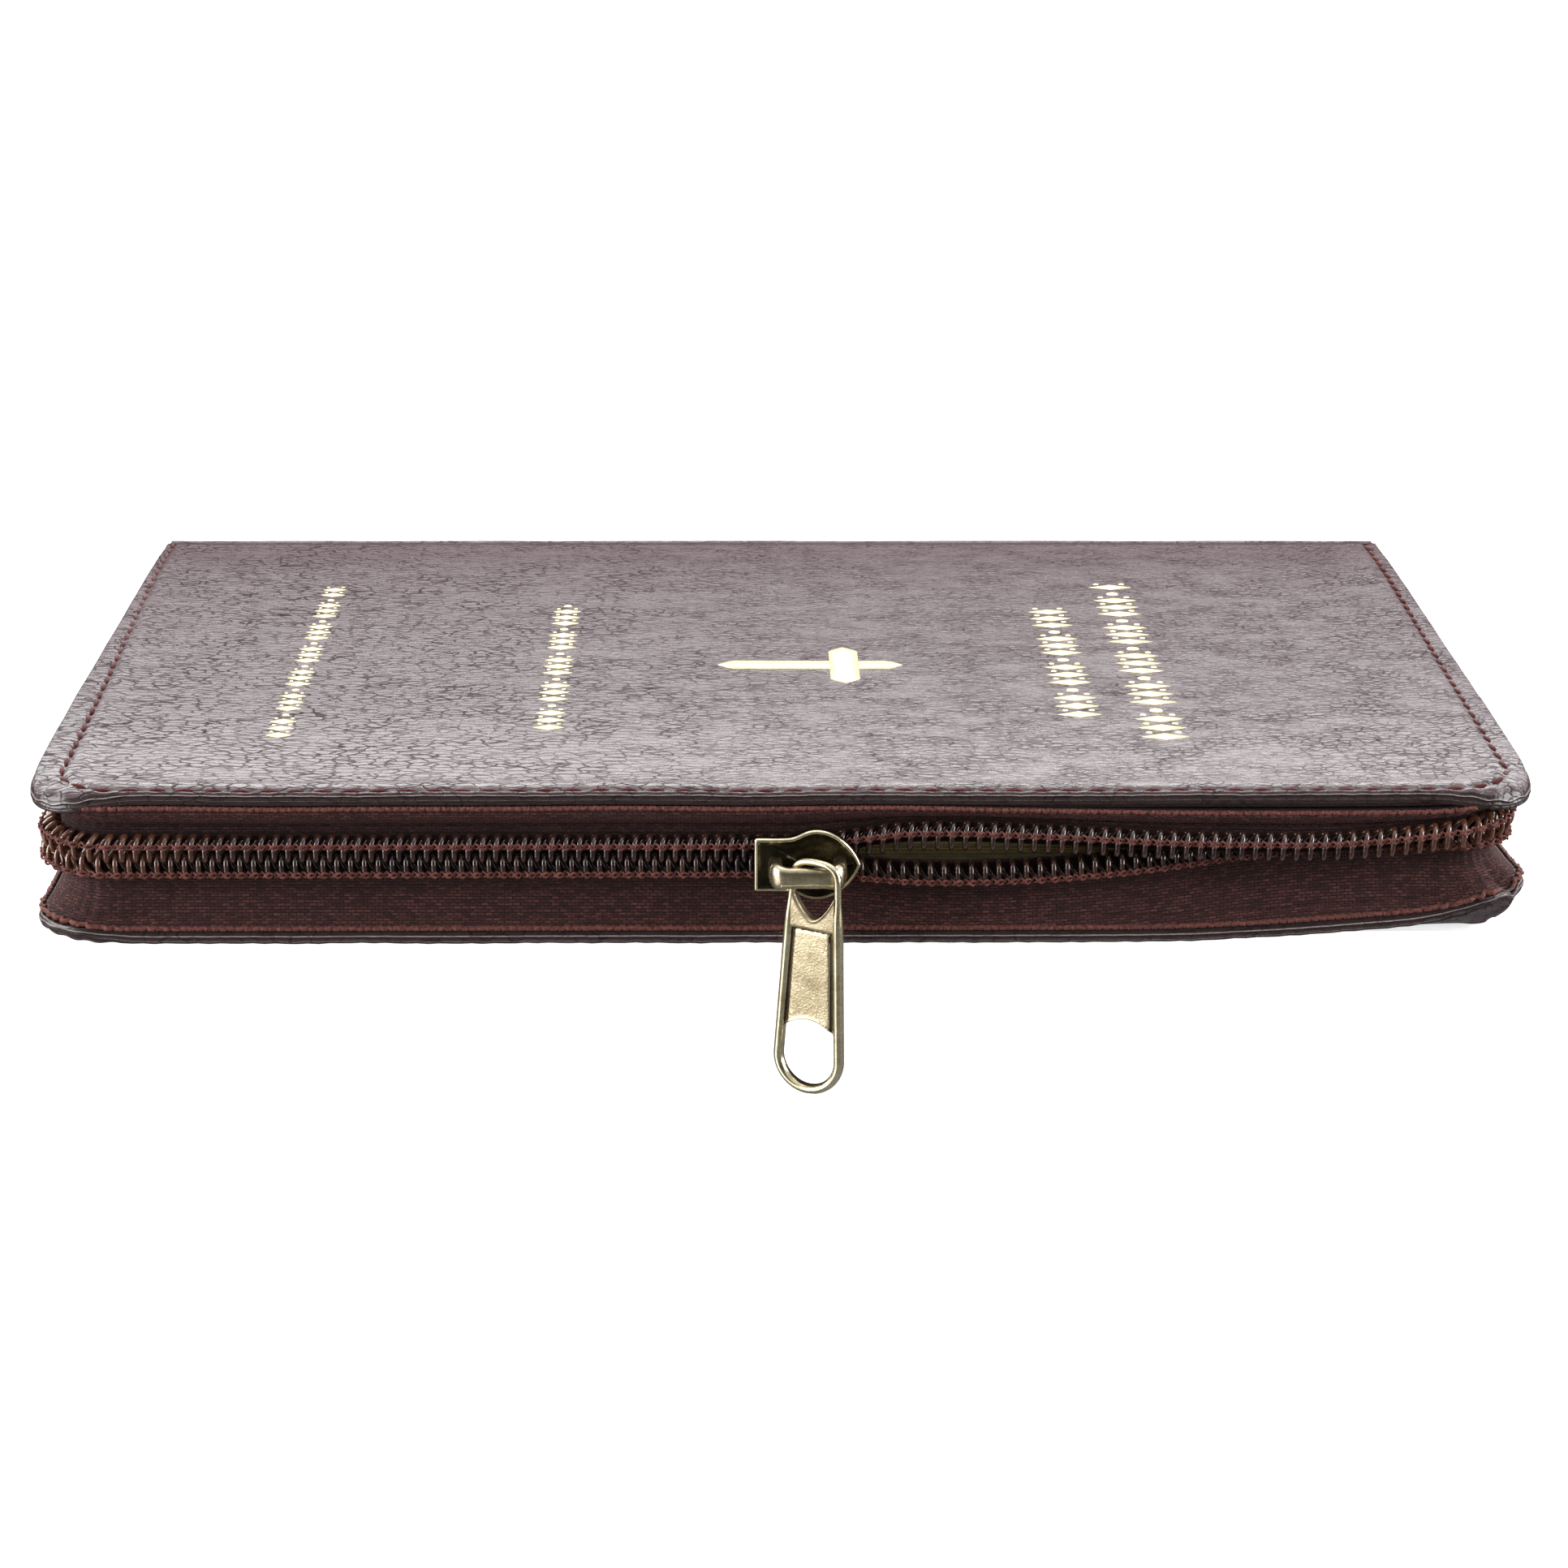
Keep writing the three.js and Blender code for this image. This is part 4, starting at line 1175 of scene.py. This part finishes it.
def plate(outline, centre, rings, shrink):
    """A plate built from outline rings. rings are (inset, y); shrink continues them to the middle."""
    points = []
    for inset, y in rings:
        points += [(centre[0] + x, y, centre[1] + z) for x, z in inset_outline(outline, inset)]
    last = inset_outline(outline, rings[-1][0])
    for scale, y in shrink:
        points += [(centre[0] + x * scale, y, centre[1] + z * scale) for x, z in last]
    return points, ring_faces(len(rings) + len(shrink), len(outline))


def sweep(path, half_wide, half_high, sides, side_axis, up_axis):
    """A closed bar of rounded section along a path; the two axes of the section stay fixed."""
    points = []
    for k, centre in enumerate(path):
        wide = half_wide[k] if np.ndim(half_wide) else half_wide
        high = half_high[k] if np.ndim(half_high) else half_high
        for angle in np.linspace(0, 2 * math.pi, sides, endpoint=False):
            c, d = math.cos(angle), math.sin(angle)
            c = math.copysign(abs(c) ** 0.8, c)
            d = math.copysign(abs(d) ** 0.8, d)
            side = side_axis[k] if np.ndim(side_axis) > 1 else side_axis
            points.append(np.array(centre) + np.array(side) * wide * c + np.array(up_axis) * high * d)
    return points, ring_faces(len(path), sides)


def make_bridge():
    """The bar that the pull tab hangs on, rooted in the blade at both ends."""
    root_x, root_y = BRIDGE_HALF, BLADE_FRONT_Y + 0.3
    path = (bezier((-root_x, root_y), (-root_x, root_y - 1.5), (-root_x, BAR_Y), (-2.4, BAR_Y), 9)
            + bezier((-2.4, BAR_Y), (-0.8, BAR_Y), (0.8, BAR_Y), (2.4, BAR_Y), 12)
            + bezier((2.4, BAR_Y), (root_x, BAR_Y), (root_x, root_y - 1.5), (root_x, root_y), 9)
            + [np.array((root_x, root_y))])
    path = np.array(path)
    ahead = unit(np.gradient(path, axis=0))
    side = np.stack([-ahead[:, 1], ahead[:, 0], np.zeros(len(path))], axis=1)
    swell = 1.0 + 0.25 * smoothstep(2.0, BRIDGE_HALF, np.abs(path[:, 0]))
    centres = [(SLIDER_X + x, y, BAR_Z) for x, y in path]
    bar, faces = sweep(centres, BAR_DEPTH * swell, 1.18 * swell, 20, side, (0, 0, 1))
    ragged = [(SLIDER_X + x, BAR_Y - BAR_DEPTH + 0.05 + 0.05 * wander(x, 0, 4.4, 0.6),
               BAR_Z - 0.72 + 0.07 * wander(x, 1, 9.4, 0.5)) for x in np.linspace(-2.9, 3.0, 60)]
    flash, flash_faces = sweep(ragged, 0.13, 0.2, 8, (0, 1, 0), (0, 0, 1))
    rough = new_mesh("slider_bridge_flash", flash, flash_faces, BRASS_SAND, "slider")
    fix_normals(rough)
    bridge = new_mesh("slider_bridge", bar, faces, BRASS_MID, "slider")
    fix_normals(bridge)


POST_SHIFT = 3.4             # the post between the blades stands towards the nose
BLADE_HIGHLIGHT_RINGS = (2, 5)        # rings of the front blade's edge given the bright brass: a painted highlight


def make_slider():
    """Both blades and the post between them, then the bridge."""
    outline = blade_outline()
    front = BLADE_FRONT_Y
    rings = ((0.25, front + 1.1), (0.0, front + 0.9), (0.0, front + 0.3), (0.07, front + 0.1),
             (0.2, front), (0.38, front + 0.02), (0.6, front + 0.2), (1.0, front + 0.28))
    shrink = ((0.8, front + 0.2), (0.55, front + 0.1), (0.25, front + 0.06))
    face = plate(outline, (SLIDER_X, BLADE_Z), rings, shrink)
    back = INNER_BLADE_Y
    rings = ((0.3, back), (0.1, back - 0.1), (0.0, back - 0.3), (0.0, back - 0.8), (0.25, back - 1.0))
    inner = plate(outline, (SLIDER_X, BLADE_Z), rings, ((0.6, back - 1.0), (0.2, back - 1.0)))
    core = [(SLIDER_X + POST_SHIFT, y, BLADE_Z) for y in np.linspace(front + 0.4, back - 0.3, 6)]
    post = sweep(core, 1.2, 0.34, 14, (1, 0, 0), (0, 0, 1))
    points, faces = merge_parts([face, inner, post])
    body = new_mesh("slider_blades", points, faces, BRASS_DARK, "slider", "slider_body")
    body.data.materials.append(BRASS_BRIGHT)
    # The bright brass on the edge rings is a painted highlight round the blade's rim.
    count = len(outline)
    for polygon in body.data.polygons:
        first = min(polygon.vertices)
        if BLADE_HIGHLIGHT_RINGS[0] * count <= first < BLADE_HIGHLIGHT_RINGS[1] * count:
            polygon.material_index = 1
    fix_normals(body)
    make_bridge()


TAB_X = HINGES["pull_tab_swing"][0]
TAB_YAW = math.radians(-30)
TAB_ALONG = np.array((math.cos(TAB_YAW), math.sin(TAB_YAW), 0))
TAB_FACE = np.array((math.sin(TAB_YAW), -math.cos(TAB_YAW), 0))
TAB_CENTRE = np.array((TAB_X, BAR_Y, BAR_Z))
TAB_TIP = TAB_LOW[2] - BAR_Z
TAB_TOP = TAB_HIGH[2] - BAR_Z
RIM_TOP_HALF = 2.72
RIM_END_HALF = 3.75
TAB_SHIFT = 0.45
RIM_LEAN = 0.033             # the tab hangs a little out of true
RIM_RADIUS = 0.56
RIM_SIDES = 16
RIM_LOW = TAB_TIP + RIM_RADIUS + RIM_END_HALF    # centre of the round end


def tab_point(u, w, face):
    """A point of the tab: u across, w up from the bar's axis, face towards the front."""
    across = TAB_ALONG * (u + TAB_SHIFT + RIM_LEAN * w)
    return TAB_CENTRE + across + np.array((0, 0, w)) + TAB_FACE * face


def rim_half(w):
    """Half width of the rim's middle line at a height."""
    return float(np.interp(w, (RIM_LOW, 0.0), (RIM_END_HALF, RIM_TOP_HALF)))


def tab_rim():
    """One loop of rounded bar: the ring at the top, the two edges and the round end."""
    arch = TAB_TOP - 0.44
    right = [(rim_half(w), w) for w in np.linspace(-0.3, RIM_LOW, 44)]
    end = [(RIM_END_HALF * math.cos(a), RIM_LOW + RIM_END_HALF * math.sin(a))
           for a in np.linspace(0, -math.pi, 34)[1:-1]]
    left = [(-u, w) for u, w in right[::-1]]
    half, shoulder = RIM_TOP_HALF, arch * 0.82
    top = (bezier((-half, -0.3), (-half, shoulder), (-1.7, arch), (0, arch), 14)
           + bezier((0, arch), (1.7, arch), (half, shoulder), (half, -0.3), 14))
    loop = np.array(right + end + left + [tuple(q) for q in top[1:]])
    ahead = np.roll(loop, -1, axis=0) - np.roll(loop, 1, axis=0)
    normal = unit(np.stack([ahead[:, 1], -ahead[:, 0]], axis=1))
    points = []
    for (u, w), (a, b) in zip(loop, normal):
        thin = float(smoothstep(-5.5, -2.0, w))
        wide = RIM_RADIUS * (1 - 0.26 * thin)
        deep = 0.7 - 0.28 * thin
        for angle in np.linspace(0, 2 * math.pi, RIM_SIDES, endpoint=False):
            across = wide * math.cos(angle)
            height = max(w + b * across, TAB_TIP + 0.16)
            points.append(tab_point(u + a * across, height, deep * math.sin(angle)))
    rim = new_mesh("tab_rim", points, grid_faces(len(loop), RIM_SIDES, True, True), BRASS_BRIGHT,
                   "pull_tab", "pull_tab")
    fix_normals(rim)


WEB_COLUMNS = 45
WEB_ROWS = 110
WEB_TOP = -4.7               # heights from the bar's axis
WEB_BOTTOM = -16.3
PANEL_TOP = -5.9


def tab_web():
    """The plate inside the rim: a sanded web under the ring, then a sunk panel down to the hole."""
    points = []
    groove_shade_mask = []
    for side in (1, -1):
        for i in range(WEB_ROWS):
            t = i / (WEB_ROWS - 1)
            for j in range(WEB_COLUMNS):
                v = j / (WEB_COLUMNS - 1) * 2 - 1
                top = WEB_TOP + 2.9 * abs(v) ** 1.7
                bottom = WEB_BOTTOM - 1.5 * v * v
                w = top + (bottom - top) * t
                u = v * (rim_half(w) - 0.2)
                edge = abs(u) - (rim_half(w) - RIM_RADIUS)
                panel_top = PANEL_TOP - 0.15 * v * v
                groove = bell(w - panel_top, 0.2) + bell(edge + 0.16, 0.24) * (w < panel_top)
                raised = 0.36 + 0.14 * float(w > panel_top) - 0.2 * min(1.0, groove)
                lip = bell(w - bottom, 0.25) + bell(w - top, 0.22)
                points.append(tab_point(u, w, side * (raised + 0.12 * lip)))
                groove_shade_mask.append(min(1.0, groove))
    faces = sheet_faces(WEB_ROWS, WEB_COLUMNS)
    web = new_mesh("tab_web", points, faces, BRASS_SAND, "pull_tab")
    web.data.materials.append(BRASS_RECESS_SHADE)
    # Faces deep in the grooves get the dark brass: painted shade along the panel's edges and top.
    for polygon in web.data.polygons:
        if len(polygon.vertices) == 4 and min(groove_shade_mask[i] for i in polygon.vertices) > 0.3:
            polygon.material_index = 1
    fix_normals(web)


# ---- foil marks -----------------------------------------------------------------------------
FOIL_LEVELS = (0.045, -0.12)     # the foil's top and bottom, from the cover's plane


def foil_strip(left, right):
    """A thin foil shape between two edges, laid on the front cover's leather."""
    rows = len(left)
    points = []
    for level in FOIL_LEVELS:
        for a, b in zip(left, right):
            for x, y in (a, ((a[0] + b[0]) / 2, (a[1] + b[1]) / 2), b):
                points.append((x, y, BOOK_TOP + front_lift(x, y) + level))
    return points, sheet_faces(rows, 3)


def pointed_bar(centre, low, high, half_width, tip, across_x):
    """A bar from low to high with pointed ends, along X or Y; tip is the two points' lengths."""
    left = []
    right = []
    for t in np.arange(low, high + 0.01, (high - low) / max(6, int((high - low) / 0.6))):
        width = half_width
        if tip[0]:
            width = min(width, 0.02 + half_width * (t - low) / tip[0])
        if tip[1]:
            width = min(width, 0.02 + half_width * (high - t) / tip[1])
        pair = [(t, centre - width), (t, centre + width)]
        if across_x:
            pair = [(centre + width, t), (centre - width, t)]
        left.append(pair[0])
        right.append(pair[1])
    return foil_strip(left, right)


CROSS_Y = -7.2
CROSS_ARM_X = 7.95
CROSS_FOOT_X = -7.3
CROSS_HEAD_X = 15.0
CROSS_ARM_REACH = 7.4
CROSS_HALF = 1.75            # half width of the arms
CROSS_TIP = 1.6


def foil_cross():
    """A plain Latin cross with pointed ends, its foot towards -X."""
    stem = CROSS_HALF * 0.92
    parts = [pointed_bar(CROSS_Y, CROSS_FOOT_X, CROSS_ARM_X - CROSS_HALF, stem, (CROSS_TIP, 0), False),
             pointed_bar(CROSS_Y, CROSS_ARM_X + CROSS_HALF, CROSS_HEAD_X, stem, (0, CROSS_TIP), False),
             pointed_bar(CROSS_ARM_X, CROSS_Y - CROSS_ARM_REACH, CROSS_Y + CROSS_ARM_REACH, CROSS_HALF,
                         (CROSS_TIP, CROSS_TIP), True)]
    points, faces = merge_parts(parts)
    new_mesh("foil_cross", points, faces, FOIL, "front_cover")


def lozenge(x, y, half_x, half_y):
    """A foil lozenge."""
    left, right = ([(x + side * half_x * (1.02 - abs(t)), y + half_y * t)
                    for t in np.linspace(-1, 1, 7)] for side in (-1, 1))
    return foil_strip(left, right)


def dot(x, y, radius):
    """A foil dot."""
    steps = np.linspace(-1, 1, 9)
    left = [(x - radius * math.sqrt(max(0.0, 1 - t * t)) - 0.01, y + radius * t) for t in steps]
    right = [(x + radius * math.sqrt(max(0.0, 1 - t * t)) + 0.01, y + radius * t) for t in steps]
    return foil_strip(left, right)


def foil_band(name, x, low, high, half_width, pitch):
    """A plain row of lozenges and dots that runs up the cover."""
    count = int(round((high - low) / pitch))
    step = (high - low) / count
    parts = []
    for index in range(count):
        y = low + (index + 0.5) * step
        if index % 4 == 3:
            parts.append(dot(x, y, 0.28 * half_width))
            continue
        parts.append(lozenge(x, y, half_width, 0.36 * step))
        parts.append(dot(x - 0.62 * half_width, y + step / 2, 0.13 * half_width))
        parts.append(dot(x + 0.62 * half_width, y + step / 2, 0.13 * half_width))
    points, faces = merge_parts(parts)
    new_mesh(name, points, faces, FOIL, "front_cover")


# Each band's place along X, its two ends in Y, half its width and the pitch of its lozenges.
FOIL_BANDS = ((43.6, -36.5, 29.0, 2.7, 3.1), (34.6, -28.5, 17.5, 2.5, 3.1),
              (-26.5, -33.0, 20.0, 1.75, 2.6), (-57.0, -35.3, 27.5, 1.5, 2.4))


def make_foil():
    foil_cross()
    for number, band in enumerate(FOIL_BANDS, start=1):
        foil_band(f"foil_band_{number}", *band)


# ---- finishes of the CAD nodes that stay ----------------------------------------------------
def finish_nodes():
    """Gives each CAD node that stays visible its material."""
    sections = [f"page_section_{i:02d}" for i in range(1, 11)]
    looks = {
        PAGES: ["turned_leaves_front", "turned_leaves_back"] + sections,
        BOARD: ["spine_board"],
        CLOTH: ["spine_mull", "head_band", "tail_band"],
        BRASS_DARK: ["top_stop_back", "top_stop_front", "bottom_stop"],
    }
    for material, names in looks.items():
        for name in names:
            node = frame["nodes"][name]
            node.data.materials.clear()
            node.data.materials.append(material)


# ---- stage ----------------------------------------------------------------------------------
def glowing_material(name, colour, glow):
    """A studio surface that is lit a little from within, so that it reads as plain white."""
    material = plain_material(name, colour, 0.8)
    shader = material.node_tree.nodes["Principled BSDF"]
    shader.inputs["Emission Color"].default_value = (1, 1, 1, 1)
    shader.inputs["Emission Strength"].default_value = glow
    return material


STAGE_GREY = (0.8, 0.8, 0.8)
STAGE_GLOW = 0.72
TABLE_REACH = 1500
TABLE_HEIGHT = 60
TABLE_EDGE_Y = FORE_Y + 3.5
TABLE_GAP = 0.02             # keeps the table just under the back cover
FLOOR_REACH = 3000
FLOOR_Z = -60.5


def make_stage():
    """A pale table that ends just behind the fore-edge, and a pale floor far below it."""
    pale = glowing_material("pale", STAGE_GREY, STAGE_GLOW)
    plan = ((-TABLE_REACH, TABLE_EDGE_Y), (TABLE_REACH, TABLE_EDGE_Y), (TABLE_REACH, TABLE_REACH),
            (-TABLE_REACH, TABLE_REACH))
    table = [(x, y, z - TABLE_GAP) for z in (0, -TABLE_HEIGHT) for x, y in plan]
    faces = [(0, 1, 2, 3), (7, 6, 5, 4), (0, 4, 5, 1), (1, 5, 6, 2), (2, 6, 7, 3), (3, 7, 4, 0)]
    table_top = new_mesh("stage_table", table, faces, pale, smooth=False)
    floor = [(x * FLOOR_REACH, y * FLOOR_REACH, FLOOR_Z) for x, y in ((-1, -1), (1, -1), (1, 1), (-1, 1))]
    for piece in (table_top, new_mesh("stage_floor", floor, [(0, 1, 2, 3)], pale, smooth=False)):
        piece.visible_diffuse = False
        piece.visible_glossy = False
        piece.visible_shadow = False


def area_light(name, place, target, size, watts):
    """A soft light that faces its target and isn't seen itself."""
    data = bpy.data.lights.new(name, "AREA")
    data.shape = "RECTANGLE"
    data.size = size[0] * MM
    data.size_y = size[1] * MM
    data.energy = watts
    light = bpy.data.objects.new(name, data)
    light.visible_camera = False
    turn = (Vector(place) - Vector(target)).to_track_quat("Z", "Y").to_matrix()
    light.matrix_world = Matrix.Translation(Vector(place) * MM) @ turn.to_4x4()
    bpy.context.scene.collection.objects.link(light)


# Brightness of the surroundings, from straight down (0) to straight up (1).
WORLD_LEVELS = ((0.0, 0.35), (0.42, 0.25), (0.5, 0.1), (0.66, 0.1), (0.73, 0.35), (0.86, 1.1), (1.0, 1.2))
WORLD_STRENGTH = 0.8


def make_world():
    """Studio air: dim low down and round the horizon, brighter overhead."""
    world = bpy.data.worlds.new("studio")
    bpy.context.scene.world = world
    world.use_nodes = True
    tree = world.node_tree
    coords = tree.nodes.new("ShaderNodeTexCoord")
    split = tree.nodes.new("ShaderNodeSeparateXYZ")
    halve = tree.nodes.new("ShaderNodeMath")
    halve.operation = "MULTIPLY_ADD"
    halve.inputs[1].default_value = 0.5
    halve.inputs[2].default_value = 0.5
    ramp = tree.nodes.new("ShaderNodeValToRGB")
    tree.links.new(coords.outputs["Generated"], split.inputs[0])
    tree.links.new(split.outputs["Z"], halve.inputs[0])
    tree.links.new(halve.outputs[0], ramp.inputs["Fac"])
    tree.links.new(ramp.outputs["Color"], tree.nodes["Background"].inputs["Color"])
    while len(ramp.color_ramp.elements) < len(WORLD_LEVELS):
        ramp.color_ramp.elements.new(1.0)
    for element, (height, level) in zip(ramp.color_ramp.elements, WORLD_LEVELS):
        element.position = height
        element.color = (level, level, level, 1)
    tree.nodes["Background"].inputs["Strength"].default_value = WORLD_STRENGTH


# Each light's name, place, target, width and height, and watts.
LIGHTS = (("overhead", (0, 0, 650), (0, 0, 0), (700, 400), 1.2),
          ("behind", (0, 215, 160), (0, -50, 18), (760, 150), 1.9),
          ("left", (-620, -200, 150), (0, -50, 5), (600, 500), 6.5),
          ("right", (620, -180, 150), (0, -50, 5), (600, 500), 6.5),
          ("floor_left", (-325, -250, -110), (0, -59, -5), (320, 240), 0.36),
          ("table_wash", (0, 900, 700), (0, 900, 0), (2400, 900), 5))


def make_lights():
    bpy.context.scene.view_settings.view_transform = "Standard"
    make_world()
    for light in LIGHTS:
        area_light(*light)


make_camera()
make_lights()
make_stage()
cover_shell("front_leather", BOOK_TOP, 1, front_lift, "front_cover", "front_cover_leather")
cover_shell("back_leather", 0.0, -1, back_lift, "root", "back_cover_leather")
cover_stitches("front_stitches", BOOK_TOP, 1, front_lift, "front_cover")
make_layers()
make_spine()
make_zip()
make_slider()
tab_rim()
tab_web()
make_foil()
finish_nodes()
